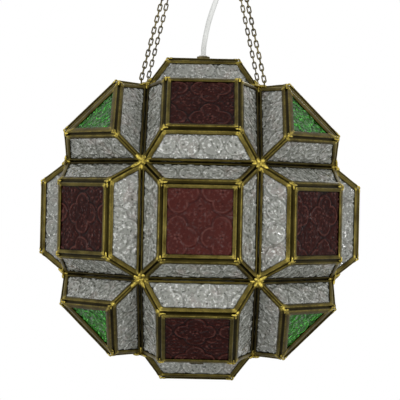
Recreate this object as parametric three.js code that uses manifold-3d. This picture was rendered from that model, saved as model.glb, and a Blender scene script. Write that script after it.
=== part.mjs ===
// A glass pendant lantern. Every face of a rhombicuboctahedron is raised into a flat-topped pyramid of
// sloping clear panes round one flat coloured pane, all held in brass came, with a brass plate on top,
// a door underneath, and four chains and a flex going up to a ring, a ceiling hook and a canopy.
// Millimetres, +Z up. The origin is the middle of the ceiling strap's upper face, on the ceiling.

import * as THREE from "three";
import * as BufferGeometryUtils from "three/addons/utils/BufferGeometryUtils.js";
import Module from "manifold-3d";

const wasm = await Module();
wasm.setup();

// Glass body
const FACE_SIDE = 130; // edge of each of the 26 faces, valley to valley
const FLAT_SIDE = 84.7; // edge of a flat pane's place, ridge to ridge
const PANE_SLANT = 38.7; // valley to ridge, up a sloping pane
const TOP_SLANT = 40.8; // the same on the top face, which stands a little higher
const GLASS = 3; // thickness of every pane
const FIT = 0.3; // clearance between neighbouring pieces

// Came, the brass channel round every pane
const LIP = 0.7; // sheet thickness
const LIP_WIDTH = 6.4; // ridge or valley line to the lip's free edge
const WEB = 0.8; // wall between two panes at a ridge

// Door underneath, with its hinge and catch
const DOOR_GAP = 0.8; // between the door's rim and the body's rim
const KNUCKLE_R = 3;
const KNUCKLE_LENGTH = 14;
const KNUCKLE_COUNT = 3;
const PIN_R = 1.2;
const LEAF = 1.2; // thickness of a hinge leaf
const LEAF_START = 1.5; // valley to a hinge leaf's lower edge
const LEAF_WIDTH = 8; // valley to its upper edge
const CATCH_LENGTH = 16;
const CATCH_SHEET = 1;
const CATCH_START = 1.5; // valley to the catch's bend
const CATCH_WIDTH = 8; // valley to the edge of its foot on the door's pane
const CATCH_TAB = 10; // how far the thumb tab stands out

// Top plate and lamp
const NIPPLE_R = 6;
const NIPPLE_BORE_R = 4.2;
const NIPPLE_RISE = 7; // above the top plate's upper face
const TOP_NUT_FLATS = 15.5; // across flats
const TOP_NUT_HEIGHT = 6.6;
const BUSH_FLANGE = 1.2;
const BUSH_LENGTH = 9;
const HOLDER_R = 20;
const HOLDER_BORE_R = 14.2;
const HOLDER_LENGTH = 48;
const HOLDER_DEPTH = 34; // socket depth, from the mouth
const HOLDER_SHELF = 4; // thickness of the shelf over the socket
const HOLDER_DROP = 3; // lampholder's top below the top plate's lower face
const HOLDER_SHOULDER = [[0, 14], [3, 6], [8, 0]]; // in from its side, down from its top
const BULB_SEAT_GAP = 1.5; // over the bulb's contact
const BULB_R = 30;
const BULB_LENGTH = 108;
const BULB_CAP_R = 13.2;
const BULB_CAP_LENGTH = 26;
const BULB_CAP_WALL = 1;
const BULB_CAP_CONE = 5; // height of the cap's cone
const BULB_CONTACT_R = 6;
const BULB_VENT_R = 2; // hole in the contact
const BULB_NECK_TOP = 10; // bulb's top down to the end of its glass neck
const BULB_NECK_FOOT = 36; // and down to where the neck runs out into the ball
const BULB_NECK_FLARE = 2;
const BULB_ARC = [-90, -65, -40, -15, 10, 35]; // degrees of the ball's profile points
const BULB_GLASS = 1; // wall of the bulb

// Suspension
const RISE = 448; // lantern's centre up to the ring's bottom
const HOOK_WIRE_R = 2.5;
const HOOK_THROAT_R = 9; // inside of the hook's bend
const HOOK_DROP = 62; // ceiling down to the hook's bearing point
const HOOK_BEND = [165, 195, 232, 270, 308, 345, 375]; // degrees round the bend's middle
const RING_WIRE_R = 1.5;
const RING_R = 15; // middle of the ring's wire
const EYELET_WIRE_R = 0.8;
const EYELET_R = 3.3;
const EYELET_OUT = 9.2; // level distance from the corner of the top square
const EYELET_SINK = 0.6; // how deep the soldered foot goes into the came
const CHAIN_WIRE_R = 0.85;
const LINK_WIDTH = 5.7; // outside
const LINK_PITCH = 7.36;
const JUMP_RING_R = 4.6; // middle of the wire of the ring at a chain's upper end
const CHAIN_ANGLES = [10, 30]; // of those rings on the big ring, degrees from its bottom

// Ceiling fitting
const CANOPY_R = 60;
const CANOPY_HEIGHT = 30;
const CANOPY_WALL = 1.2;
const CANOPY_DEGREES = [12, 25, 47, 68]; // of the dome's profile points, from its rim
const STRAP_LENGTH = 104;
const STRAP_WIDTH = 22;
const STRAP_SHEET = 2.5;
const STRAP_SLOT_IN = 11; // from the strap's end to the middle of its screw slot
const STRAP_SLOT_R = 2.6;
const STRAP_SLOT_LENGTH = 12;
const BOSS_R = 8;
const BOSS_LENGTH = 12;
const SHANK_IN = 9; // length of the hook's shank inside the boss
const COLLAR_R = 10; // the hook's collar, which holds the canopy up
const COLLAR_HEIGHT = 7;
const COLLAR_FOOT_R = 6;
const COLLAR_EDGE = 2;
const GROMMET_X = 31; // the flex's way into the canopy
const GROMMET_R = 6;
const GROMMET_LIP = 1.6;
const GROMMET_HEAD = 3;
const GROMMET_TOP = 14; // ceiling down to the bush's upper end
const CORD_R = 3.15;
// The flex, from the bush in the lantern's top up to the grommet, as X and Y and the height above the bush
const CORD_ROUTE = [
  [0, 0, 0], [0.2, 0, 9], [1.4, -0.3, 19], [3.6, -0.8, 31], [6.6, -1.4, 44], [13, -2.6, 64],
  [22.5, -4, 88], [33.5, -5.4, 116], [43, -6, 146], [49, -6, 177], [51, -5, 208],
  [48, -3, 240], [39.5, -1, 270], [32, -0.2, 292], [31, 0, 303.4],
];

// Derived from the driving dimensions
const POCKET_TOP = LIP; // depth of a pocket's two walls below the outer surface
const POCKET_FLOOR = LIP + FIT + GLASS + FIT;
const CAME_DEPTH = POCKET_FLOOR + LIP;
const GLASS_TOP = LIP + FIT;
const GLASS_FLOOR = GLASS_TOP + GLASS;
const SQUARE_REACH = FACE_SIDE * (1 + Math.SQRT2) / 2; // centre to a square face
const RING_MIDDLE_Z = -HOOK_DROP + HOOK_WIRE_R + FIT - (RING_R - RING_WIRE_R);
const CENTRE_Z = RING_MIDDLE_Z - RING_R - RISE; // the glass body's centre
const BEARING = 2 * CHAIN_WIRE_R; // between the middles of two chain wires that bear on each other
const UP = new THREE.Vector3(0, 0, 1);
const RIGHTWARD = new THREE.Vector3(1, 0, 0);
const REARWARD = new THREE.Vector3(0, 1, 0);

const group = new THREE.Group();

const materials = {
  brass: { color: 0x8a7833, roughness: 0.42, metalness: 0.9 },
  red: { color: 0x4a1a1e, roughness: 0.2, metalness: 0 },
  green: { color: 0x2f7a3a, roughness: 0.2, metalness: 0 },
  clear: { color: 0xa9aca6, roughness: 0.25, metalness: 0 },
  steel: { color: 0x9a9a98, roughness: 0.35, metalness: 1 },
  black: { color: 0x1c1b1a, roughness: 0.5, metalness: 0 },
  white: { color: 0xe8e6df, roughness: 0.6, metalness: 0 },
};

// Adds a mesh to the lantern under its own name.
function add(name, geometry, finish, height = 0) {
  const mesh = new THREE.Mesh(geometry, new THREE.MeshStandardMaterial(materials[finish]));
  mesh.name = name;
  mesh.position.z = height;
  group.add(mesh);
}

// A closed skin made of quads between points; points at one place are one vertex.
class Skin {
  constructor() {
    this.points = [];
    this.index = [];
    this.known = new Map();
  }

  vertex(p) {
    const key = [p.x, p.y, p.z].map((value) => Math.round(value * 1000)).join();
    if (!this.known.has(key)) {
      this.known.set(key, this.points.length / 3);
      this.points.push(p.x, p.y, p.z);
    }
    return this.known.get(key);
  }

  quad(a, b, c, d) {
    const [i, j, k, l] = [a, b, c, d].map((p) => this.vertex(p));
    this.index.push(i, j, k, i, k, l);
  }

  // Quads between two rings that have as many points each.
  band(outer, inner) {
    outer.forEach((p, i) => {
      const next = (i + 1) % outer.length;
      this.quad(p, outer[next], inner[next], inner[i]);
    });
  }

  // A flat face with any number of corners, as a fan.
  fan(ring) {
    for (let i = 1; i < ring.length - 1; i += 1) {
      this.index.push(this.vertex(ring[0]), this.vertex(ring[i]), this.vertex(ring[i + 1]));
    }
  }

  geometry() {
    const geometry = new THREE.BufferGeometry();
    geometry.setAttribute("position", new THREE.Float32BufferAttribute(this.points, 3));
    geometry.setIndex(this.index);
    return geometry;
  }
}

// Only positions, with shared vertices merged.
function welded(geometry) {
  const bare = geometry.clone();
  bare.deleteAttribute("normal");
  bare.deleteAttribute("uv");
  return BufferGeometryUtils.mergeVertices(bare, 1e-4);
}

function solid(geometry) {
  const merged = welded(geometry);
  return new wasm.Manifold(new wasm.Mesh({
    numProp: 3,
    vertProperties: new Float32Array(merged.attributes.position.array),
    triVerts: new Uint32Array(merged.index.array),
  }));
}

function geometryOf(body) {
  const mesh = body.getMesh();
  const geometry = new THREE.BufferGeometry();
  geometry.setAttribute("position", new THREE.Float32BufferAttribute(mesh.vertProperties, 3));
  geometry.setIndex(new THREE.Uint32BufferAttribute(mesh.triVerts, 1));
  return geometry;
}

// A cylinder along Z between two heights.
function rod(radius, low, high, sides = 24) {
  const shape = new THREE.CylinderGeometry(radius, radius, high - low, sides);
  return shape.rotateX(Math.PI / 2).translate(0, 0, (low + high) / 2);
}

// A solid turned about Z from a profile of radius and height.
function turned(profile, sides = 24) {
  const points = profile.map(([radius, height]) => new THREE.Vector2(radius, height));
  return new THREE.LatheGeometry(points, sides).rotateX(Math.PI / 2);
}

// A turned solid with a bore: the profile closes on itself.
function turnedRing(profile, sides = 24) {
  return turned([...profile, profile[0]], sides);
}

// The 24 corners of the glass body.
function bodyCorners() {
  const half = FACE_SIDE / 2;
  const corners = [];
  for (const far of [0, 1, 2]) {
    for (let signs = 0; signs < 8; signs += 1) {
      const reach = [0, 1, 2].map((axis) => (axis === far ? SQUARE_REACH : half));
      corners.push(new THREE.Vector3(...reach.map((value, axis) => (signs >> axis & 1 ? value : -value))));
    }
  }
  return corners;
}

// One face: its outward normal, its middle and its corners, anticlockwise from outside.
function faceToward(direction) {
  const normal = new THREE.Vector3(...direction).normalize();
  const all = bodyCorners();
  const reach = Math.max(...all.map((p) => p.dot(normal)));
  const corners = all.filter((p) => p.dot(normal) > reach - 0.01);
  const middle = normal.clone().multiplyScalar(reach);
  const right = corners[0].clone().sub(middle).normalize();
  const ahead = normal.clone().cross(right);
  const turn = (p) => {
    const arm = p.clone().sub(middle);
    return Math.atan2(arm.dot(ahead), arm.dot(right));
  };
  corners.sort((a, b) => turn(a) - turn(b));
  return { normal, middle, corners };
}

// A raised face, or module: where its flat pane, its sloping panes and their came lie.
class RaisedFace {
  constructor(direction, trim = 0, slant = PANE_SLANT) {
    Object.assign(this, faceToward(direction));
    this.sides = this.corners.length;
    const toEdge = Math.tan(Math.PI / this.sides) * 2;
    const baseReach = FACE_SIDE / toEdge;
    this.flatReach = FLAT_SIDE / toEdge;
    this.height = Math.sqrt(slant ** 2 - (baseReach - this.flatReach) ** 2);
    const inset = baseReach - trim - this.flatReach;
    this.slant = Math.hypot(this.height, inset);
    this.slope = Math.atan2(this.height, inset);
    const keep = 1 - trim / baseReach;
    this.base = this.corners.map((p) => this.middle.clone().lerp(p, keep));
    this.ridge = this.flatRing(0, 0);
    this.widening = (FACE_SIDE * keep - FLAT_SIDE) / 2 / this.slant;
    const lean = (Math.PI - this.slope) / 2;
    this.seat = (WEB / 2 + POCKET_FLOOR * Math.cos(lean)) / Math.sin(lean);
    this.mitre = CAME_DEPTH / Math.tan(lean);
  }

  // The corners of a ring at a reach from the face's axis and a height above the face.
  ring(reach, height) {
    const centre = this.middle.clone().addScaledVector(this.normal, height);
    const arm = reach / Math.cos(Math.PI / this.sides);
    return this.corners.map((p) => {
      const out = p.clone().sub(this.middle).normalize();
      return centre.clone().addScaledVector(out, arm);
    });
  }

  // A ring in the flat pane's slab: in from the ridge, and below the outer surface.
  flatRing(from, depth) {
    return this.ring(this.flatReach - from, this.height - depth);
  }

  // Reach and height of a place on a sloping pane: down from the ridge, and below the outer surface.
  slopePlace(from, depth) {
    const reach = this.flatReach + from * Math.cos(this.slope) - depth * Math.sin(this.slope);
    return [reach, this.height - from * Math.sin(this.slope) - depth * Math.cos(this.slope)];
  }

  slopeRing(from, depth) {
    return this.ring(...this.slopePlace(from, depth));
  }

  // A point of pane k: along its edge from the middle, down from the ridge and below the outer surface.
  panePoint(k, along, from, depth) {
    const [reach, height] = this.slopePlace(from, depth);
    const edge = this.corners[(k + 1) % this.sides].clone().sub(this.corners[k]).normalize();
    const out = edge.clone().cross(this.normal);
    return this.middle.clone().addScaledVector(this.normal, height)
      .addScaledVector(out, reach).addScaledVector(edge, along);
  }

  // The window that the came leaves in pane k, anticlockwise from its lower left.
  window(k, depth) {
    const legInset = LIP_WIDTH * Math.hypot(1, this.widening);
    const low = this.slant - LIP_WIDTH;
    const lowHalf = FLAT_SIDE / 2 + low * this.widening - legInset;
    const highHalf = FLAT_SIDE / 2 + LIP_WIDTH * this.widening - legInset;
    const places = [[-lowHalf, low], [lowHalf, low], [highHalf, LIP_WIDTH], [-highHalf, LIP_WIDTH]];
    return places.map(([along, from]) => this.panePoint(k, along, from, depth));
  }
}

const squareFace = new RaisedFace([0, 0, 1]);
const triangleFace = new RaisedFace([1, 1, 1]);

// How far a corner draws in towards the body's centre to be at a depth below a face's sloping panes.
function drawnIn(face, depth) {
  const edgeReach = FACE_SIDE / 2 / Math.tan(Math.PI / face.sides);
  const reach = Math.cos(face.slope) * face.middle.length() + Math.sin(face.slope) * edgeReach;
  return 1 - depth / reach;
}

// The came of one raised face. Its lower edges are left open, to join the next face's.
function cameOfFace(skin, face, base) {
  const inner = base.map((p) => p.clone().multiplyScalar(drawnIn(squareFace, LIP)));
  const { ridge } = face;
  const seat = face.slopeRing(face.seat, POCKET_TOP);
  for (let k = 0; k < face.sides; k += 1) {
    const next = (k + 1) % face.sides;
    const outerRim = [base[k], base[next], ridge[next], ridge[k]];
    const innerRim = [inner[k], inner[next], seat[next], seat[k]];
    const outerHole = face.window(k, 0);
    const innerHole = face.window(k, POCKET_TOP);
    skin.band(outerRim, outerHole);
    skin.band(outerHole, innerHole);
    skin.band(innerHole, innerRim);
  }
  const rings = [
    ridge,
    face.flatRing(LIP_WIDTH, 0),
    face.flatRing(LIP_WIDTH, POCKET_TOP),
    face.flatRing(face.seat, POCKET_TOP),
    face.flatRing(face.seat, POCKET_FLOOR),
    face.flatRing(LIP_WIDTH, POCKET_FLOOR),
    face.flatRing(LIP_WIDTH, CAME_DEPTH),
    face.flatRing(face.mitre, CAME_DEPTH),
    face.slopeRing(LIP_WIDTH, CAME_DEPTH),
    face.slopeRing(LIP_WIDTH, POCKET_FLOOR),
    face.slopeRing(face.seat, POCKET_FLOOR),
    seat,
  ];
  for (let i = 0; i < rings.length - 1; i += 1) skin.band(rings[i], rings[i + 1]);
  return inner;
}

// The flat pane of a raised face, loose in its pocket by the clearance.
function flatPane(face) {
  const top = face.flatRing(face.seat + FIT, GLASS_TOP);
  const floor = face.flatRing(face.seat + FIT, GLASS_FLOOR);
  const skin = new Skin();
  skin.fan(top);
  skin.fan([...floor].reverse());
  skin.band(floor, top);
  return skin.geometry();
}

// The sloping panes of one or two raised faces, mitred together. The lower edges that two of the faces
// share stay joined, and the others keep a clearance to the faces beyond.
function slopingPanes(faces) {
  const shared = (p) => faces.length > 1 && faces.every((face) => face.base.some((q) => q.distanceTo(p) < 1));
  const common = faces[0].base.filter(shared);
  const skin = new Skin();
  for (const face of faces) {
    const keep = 1 - FIT / 2 / (FACE_SIDE / 2 / Math.tan(Math.PI / face.sides));
    const foot = face.base.map((p) => {
      if (!shared(p)) return face.middle.clone().lerp(p, keep);
      const far = common.find((q) => q !== p && q.distanceTo(p) > 1);
      return p.clone().addScaledVector(far.clone().sub(p).normalize(), FIT);
    });
    const outer = foot.map((p) => p.clone().multiplyScalar(drawnIn(triangleFace, GLASS_TOP)));
    const inner = foot.map((p) => p.clone().multiplyScalar(drawnIn(triangleFace, GLASS_FLOOR)));
    const outerTop = face.slopeRing(face.seat + FIT, GLASS_TOP);
    const innerTop = face.slopeRing(face.seat + FIT, GLASS_FLOOR);
    skin.band(outer, outerTop);
    skin.band(outerTop, innerTop);
    skin.band(innerTop, inner);
    for (let k = 0; k < face.sides; k += 1) {
      const next = (k + 1) % face.sides;
      const joined = shared(face.base[k]) && shared(face.base[next]);
      if (!joined) skin.quad(inner[k], inner[next], outer[next], outer[k]);
    }
  }
  return skin.geometry();
}

// The raised faces by name
const middleRing = {
  front: [0, -1, 0], front_right: [1, -1, 0], right: [1, 0, 0], rear_right: [1, 1, 0],
  rear: [0, 1, 0], rear_left: [-1, 1, 0], left: [-1, 0, 0], front_left: [-1, -1, 0],
};
const sideNames = Object.keys(middleRing);
const levels = { upper: 1, lower: -1 };
const faces = {};
for (const [name, [x, y]] of Object.entries(middleRing)) {
  faces[name] = new RaisedFace([x, y, 0]);
  for (const [level, z] of Object.entries(levels)) faces[`${level}_${name}`] = new RaisedFace([x, y, z]);
}
faces.top = new RaisedFace([0, 0, 1], 0, TOP_SLANT);
const doorFace = new RaisedFace([0, 0, -1], DOOR_GAP);

// The hinge's line, outside the valley between the door and the rear face beside it
const faceTilt = Math.PI / 8; // between a square face and the plane square to a valley's outward line
const valleyHalfAngle = Math.PI / 2 + faceTilt - squareFace.slope; // from that line to a sloping pane
const hinge = (() => {
  const valley = new THREE.Vector3(0, FACE_SIDE / 2, -SQUARE_REACH);
  const distance = (KNUCKLE_R + FIT) / Math.sin(valleyHalfAngle);
  return { valley, axis: valley.clone().addScaledVector(valley.clone().normalize(), distance) };
})();

// A straight strip along X on the pane of a face whose lower edge passes a point. Its outline gives
// distances up the pane from that edge and heights above the pane. It starts at its inward corner, if
// it has one.
function stripOnPane(face, edgePoint, outline, low, high) {
  const toEdge = (k) => face.panePoint(k, 0, face.slant, 0).distanceTo(edgePoint);
  const pane = [...face.corners.keys()].sort((a, b) => toEdge(a) - toEdge(b))[0];
  const way = Math.sign(face.panePoint(pane, 1, 0, 0).x);
  const section = (x) => outline.map(([up, above]) => face.panePoint(pane, way * x, face.slant - up, -above));
  const ends = way < 0 ? [section(high), section(low)] : [section(low), section(high)];
  const skin = new Skin();
  const [first, ...others] = ends[0];
  skin.fan([first, ...others.reverse()]);
  skin.fan(ends[1]);
  skin.band(ends[0], ends[1]);
  return skin.geometry();
}

// One knuckle of the hinge, with its leaf soldered on the pane of a face that is beside the hinge.
function knuckle(index, face) {
  const middleX = (index - (KNUCKLE_COUNT - 1) / 2) * (KNUCKLE_LENGTH + FIT);
  const half = KNUCKLE_LENGTH / 2;
  const barrel = rod(KNUCKLE_R, -half, half, 16).rotateY(Math.PI / 2);
  barrel.translate(middleX, hinge.axis.y, hinge.axis.z);
  const outline = [
    [LEAF_WIDTH, -LIP / 2], [LEAF_WIDTH, LEAF], [LEAF_START, LEAF], [LEAF_START, -LIP / 2],
  ];
  const leaf = stripOnPane(face, hinge.valley, outline, middleX - half, middleX + half);
  return solid(barrel).add(solid(leaf));
}

// The hole for the hinge pin, through all the knuckles.
function pinRun(radius, spare) {
  const half = KNUCKLE_COUNT * (KNUCKLE_LENGTH + FIT) / 2 + spare;
  return rod(radius, -half, half, 12).rotateY(Math.PI / 2).translate(0, hinge.axis.y, hinge.axis.z);
}

// Where chains hold: an upright loop on the ridge that runs out from each corner of the top square.
function eyeletAt(signX, signY) {
  const { base, ridge } = faces[`upper_${signY < 0 ? "front" : "rear"}_${signX < 0 ? "left" : "right"}`];
  const outward = new THREE.Vector3(signX, signY, 0).normalize();
  const highest = (ring) => ring.reduce((a, b) => (a.z > b.z ? a : b));
  const corner = highest(base);
  const crest = highest(ridge);
  const middle = corner.clone().lerp(crest, EYELET_OUT / crest.clone().sub(corner).dot(outward));
  middle.z += EYELET_R + EYELET_WIRE_R - EYELET_SINK;
  return middle;
}

function eyelet(signX, signY) {
  const middle = eyeletAt(signX, signY);
  const loop = new THREE.TorusGeometry(EYELET_R, EYELET_WIRE_R, 6, 12);
  loop.applyMatrix4(new THREE.Matrix4().makeBasis(REARWARD, UP, RIGHTWARD));
  return loop.translate(middle.x, middle.y, middle.z);
}

const corners = [[-1, -1], [1, -1], [-1, 1], [1, 1]];

// The whole cage of came, open underneath for the door.
function cameFrame() {
  const skin = new Skin();
  for (const face of Object.values(faces)) cameOfFace(skin, face, face.base);
  const rim = faceToward([0, 0, -1]).corners;
  skin.band(rim, rim.map((p) => p.clone().multiplyScalar(drawnIn(squareFace, LIP))));
  let body = solid(skin.geometry());
  for (const [x, y] of corners) body = body.add(solid(eyelet(x, y)));
  for (const index of [0, 2]) body = body.add(knuckle(index, faces.lower_rear));
  return geometryOf(body.subtract(solid(pinRun(PIN_R + FIT, 1))));
}

function doorFrame() {
  const skin = new Skin();
  const inner = cameOfFace(skin, doorFace, doorFace.base);
  skin.band(inner, doorFace.base);
  const body = solid(skin.geometry()).add(knuckle(1, doorFace));
  return geometryOf(body.subtract(solid(pinRun(PIN_R + FIT, 1))));
}

// The door's catch: a strip on the lip of the door's front pane, bent out along the valley as a thumb tab.
function doorCatch() {
  const valley = new THREE.Vector3(0, -FACE_SIDE / 2, -SQUARE_REACH);
  const [cos, sin] = [Math.cos(valleyHalfAngle), Math.sin(valleyHalfAngle)];
  const bendTop = FIT + CATCH_SHEET;
  const tip = [CATCH_START + CATCH_TAB * cos, FIT + CATCH_TAB * sin];
  const innerTip = [tip[0] + CATCH_SHEET * sin, tip[1] - CATCH_SHEET * cos];
  const bend = [innerTip[0] - (innerTip[1] - bendTop) * cos / sin, bendTop];
  const outline = [
    bend, innerTip, tip, [CATCH_START, FIT], [CATCH_WIDTH, FIT], [CATCH_WIDTH, bendTop],
  ];
  return stripOnPane(doorFace, valley, outline, -CATCH_LENGTH / 2, CATCH_LENGTH / 2);
}

// Heights of the lamp's pieces above the body's centre
const plateTop = SQUARE_REACH + faces.top.height - GLASS_TOP;
const plateFloor = plateTop - GLASS;
const nippleTop = plateTop + NIPPLE_RISE;
const holderTop = plateFloor - HOLDER_DROP;
const holderMouth = holderTop - HOLDER_LENGTH;
const holderFloor = holderMouth + HOLDER_DEPTH;
const holderNeck = holderFloor + HOLDER_SHELF;
const nippleFoot = holderNeck + FIT;
const bulbTop = holderFloor - BULB_SEAT_GAP;
const bushTop = nippleTop + FIT + BUSH_FLANGE;

// A square plate with a round hole, in the top face's pocket instead of glass.
function topPlate() {
  const half = faces.top.flatReach - faces.top.seat - FIT;
  const outline = new THREE.Shape();
  outline.moveTo(-half, -half).lineTo(half, -half).lineTo(half, half).lineTo(-half, half);
  outline.holes.push(new THREE.Path().absarc(0, 0, NIPPLE_R + FIT, 0, Math.PI * 2, true));
  const plate = new THREE.ExtrudeGeometry(outline, { depth: GLASS, bevelEnabled: false, curveSegments: 12 });
  return plate.translate(0, 0, plateTop - GLASS);
}

function nipple() {
  return turnedRing([
    [NIPPLE_BORE_R, nippleFoot], [NIPPLE_R, nippleFoot],
    [NIPPLE_R, nippleTop], [NIPPLE_BORE_R, nippleTop],
  ], 20);
}

// The hexagonal nut that holds the nipple on the top plate.
function topNut() {
  const nut = rod(TOP_NUT_FLATS / Math.sqrt(3), plateTop + FIT, plateTop + FIT + TOP_NUT_HEIGHT, 6);
  const bore = rod(NIPPLE_R + FIT, plateTop, nippleTop, 20);
  return geometryOf(solid(nut).subtract(solid(bore)));
}

// The insulating bush that guards the flex at the nipple's mouth.
function cordBush() {
  const sleeve = NIPPLE_BORE_R - FIT;
  return turned([
    [0, bushTop - BUSH_FLANGE - BUSH_LENGTH], [sleeve, bushTop - BUSH_FLANGE - BUSH_LENGTH],
    [sleeve, bushTop - BUSH_FLANGE], [NIPPLE_R - FIT, bushTop - BUSH_FLANGE],
    [NIPPLE_R - FIT * 2, bushTop], [0, bushTop],
  ], 20);
}

function lampholder() {
  const neck = NIPPLE_R + FIT;
  return turnedRing([
    [neck, holderTop], [neck, holderNeck], [NIPPLE_BORE_R, holderNeck], [NIPPLE_BORE_R, holderFloor],
    [HOLDER_BORE_R, holderFloor], [HOLDER_BORE_R, holderMouth], [HOLDER_R, holderMouth],
    ...HOLDER_SHOULDER.map(([inwards, down]) => [HOLDER_R - inwards, holderTop - down]),
  ]);
}

function bulbCap() {
  const bore = BULB_CAP_R - BULB_CAP_WALL;
  const low = bulbTop - BULB_CAP_LENGTH;
  return turnedRing([
    [bore, low], [BULB_CAP_R, low], [BULB_CAP_R, bulbTop - BULB_CAP_CONE], [BULB_CONTACT_R, bulbTop],
    [BULB_VENT_R, bulbTop], [BULB_VENT_R, bulbTop - BULB_CAP_WALL * 2],
    [bore, bulbTop - BULB_CAP_CONE - BULB_CAP_WALL],
  ], 20);
}

// The blown bulb: a neck inside the cap, widening to a ball, open at the top like the real envelope.
function bulbGlass() {
  const neck = BULB_CAP_R - BULB_CAP_WALL - FIT;
  const ball = bulbTop - BULB_LENGTH + BULB_R;
  const shape = (wall) => {
    const radius = BULB_R - wall;
    const arc = BULB_ARC.map((degrees) => {
      const angle = THREE.MathUtils.degToRad(degrees);
      return [Math.max(radius * Math.cos(angle), 0), ball + radius * Math.sin(angle)];
    });
    return [
      ...arc,
      [neck - wall + BULB_NECK_FLARE, bulbTop - BULB_NECK_FOOT],
      [neck - wall, bulbTop - BULB_CAP_LENGTH - BULB_NECK_FLARE],
      [neck - wall, bulbTop - BULB_NECK_TOP],
    ];
  };
  return turned([...shape(0), ...shape(BULB_GLASS).reverse()], 20);
}

// The big ring on the hook
function topRing() {
  const ring = new THREE.TorusGeometry(RING_R, RING_WIRE_R, 8, 24).rotateX(Math.PI / 2);
  return ring.translate(0, 0, RING_MIDDLE_Z);
}

// One loop of a chain, in the plane of its two directions. The wire's section is a triangle whose flat
// side faces inwards. Where the loop bears on the next one, at its top or foot, the two share a square
// patch, whose corners are given by the neighbour's own direction across.
function chainLoop(skin, { middle, along, across, path, above, below }) {
  const normal = along.clone().cross(across);
  const place = (width, length) => (
    middle.clone().addScaledVector(across, width).addScaledVector(along, length)
  );
  const sections = path.map(([width, length], i) => {
    const before = path[(i + path.length - 1) % path.length];
    const after = path[(i + 1) % path.length];
    const into = new THREE.Vector2(width - before[0], length - before[1]).normalize();
    const away = new THREE.Vector2(after[0] - width, after[1] - length).normalize();
    const heading = into.clone().add(away).normalize();
    const stretch = 1 / heading.dot(into);
    const out = across.clone().multiplyScalar(heading.y).addScaledVector(along, -heading.x);
    return [[-1, -1], [1, 0], [-1, 1]].map(([outwards, sideways]) => place(width, length)
      .addScaledVector(out, CHAIN_WIRE_R * outwards * stretch)
      .addScaledVector(normal, CHAIN_WIRE_R * sideways));
  });
  const half = Math.max(...path.map(([, length]) => length));
  sections.forEach((section, i) => {
    const next = (i + 1) % sections.length;
    const level = (path[i][1] + path[next][1]) / 2;
    const side = Math.abs(level) > half - 0.01 ? Math.sign(level) : 0;
    const neighbour = side > 0 ? above : below;
    if (!side || !neighbour) {
      skin.band(section, sections[next]);
      return;
    }
    const sideways = neighbour.clone().multiplyScalar(Math.sign(neighbour.dot(normal)) * CHAIN_WIRE_R);
    const corner = (width, way) => place(width * CHAIN_WIRE_R, side * (half - CHAIN_WIRE_R))
      .addScaledVector(sideways, way);
    const [a1, b1, a2, b2] = [[side, -1], [side, 1], [-side, -1], [-side, 1]].map((pair) => corner(...pair));
    const [a, apex, b] = section;
    const [aEnd, apexEnd, bEnd] = sections[next];
    skin.quad(b, a, a1, b1);
    skin.quad(b2, a2, aEnd, bEnd);
    skin.fan([a1, a, apex, apexEnd, a2]);
    skin.fan([a2, apexEnd, aEnd]);
    skin.fan([b1, apexEnd, apex, b]);
    skin.fan([apexEnd, b1, b2, bEnd]);
  });
}

// The middle line of a link's wire
function linkPath(length) {
  const half = length / 2;
  const side = LINK_WIDTH / 2 - CHAIN_WIRE_R;
  return [[side, -half], [side, half], [-side, half], [-side, -half]];
}

// The middle line of the end ring's wire
function jumpRingPath() {
  const arm = JUMP_RING_R / Math.cos(Math.PI / 6);
  return [...Array(6).keys()].map((i) => {
    const angle = i * Math.PI / 3;
    return [arm * Math.cos(angle), arm * Math.sin(angle)];
  });
}

// One chain, from its eyelet on the glass body up to its end ring on the big ring, each link turned a
// quarter from the last. An odd count of links brings the end ring round square to the big ring.
function chain(signX, signY) {
  const middle = eyeletAt(signX, signY);
  const [near, far] = CHAIN_ANGLES;
  const angle = THREE.MathUtils.degToRad(signY < 0 ? far : near) * signX;
  const onRing = new THREE.Vector3(Math.sin(angle), 0, -Math.cos(angle)).multiplyScalar(RING_R);
  onRing.z += RING_MIDDLE_Z - CENTRE_Z;
  const pull = onRing.clone().sub(middle).setX(0).normalize();
  const held = middle.clone().addScaledVector(pull, EYELET_R);
  const along = onRing.clone().sub(held).normalize();
  const low = held.clone().addScaledVector(along, -EYELET_WIRE_R - CHAIN_WIRE_R - FIT);
  const high = onRing.clone().addScaledVector(along, RING_WIRE_R + CHAIN_WIRE_R + 3 * FIT);
  const run = high.distanceTo(low) - 2 * JUMP_RING_R;
  const count = 2 * Math.round((run / LINK_PITCH - 1) / 2) + 1;
  const pitch = run / count;
  const lowAcross = RIGHTWARD.clone().addScaledVector(along, -RIGHTWARD.dot(along)).normalize();
  const ringWay = new THREE.Vector3(Math.cos(angle), 0, Math.sin(angle));
  const highAcross = along.clone().cross(ringWay).normalize();
  const wanted = lowAcross.clone().applyAxisAngle(along, count * Math.PI / 2);
  let twist = Math.atan2(wanted.clone().cross(highAcross).dot(along), wanted.dot(highAcross));
  twist -= Math.round(twist / Math.PI) * Math.PI;
  const acrossOf = (i) => lowAcross.clone().applyAxisAngle(along, i * (Math.PI / 2 + twist / count));
  const skin = new Skin();
  for (let i = 0; i <= count; i += 1) {
    const reach = i < count ? (pitch + BEARING) / 2 + i * pitch : run + JUMP_RING_R;
    chainLoop(skin, {
      middle: low.clone().addScaledVector(along, reach),
      along,
      across: acrossOf(i),
      path: i < count ? linkPath(pitch + BEARING) : jumpRingPath(),
      above: i < count && acrossOf(i + 1),
      below: i > 0 && acrossOf(i - 1),
    });
  }
  return skin.geometry();
}

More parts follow.
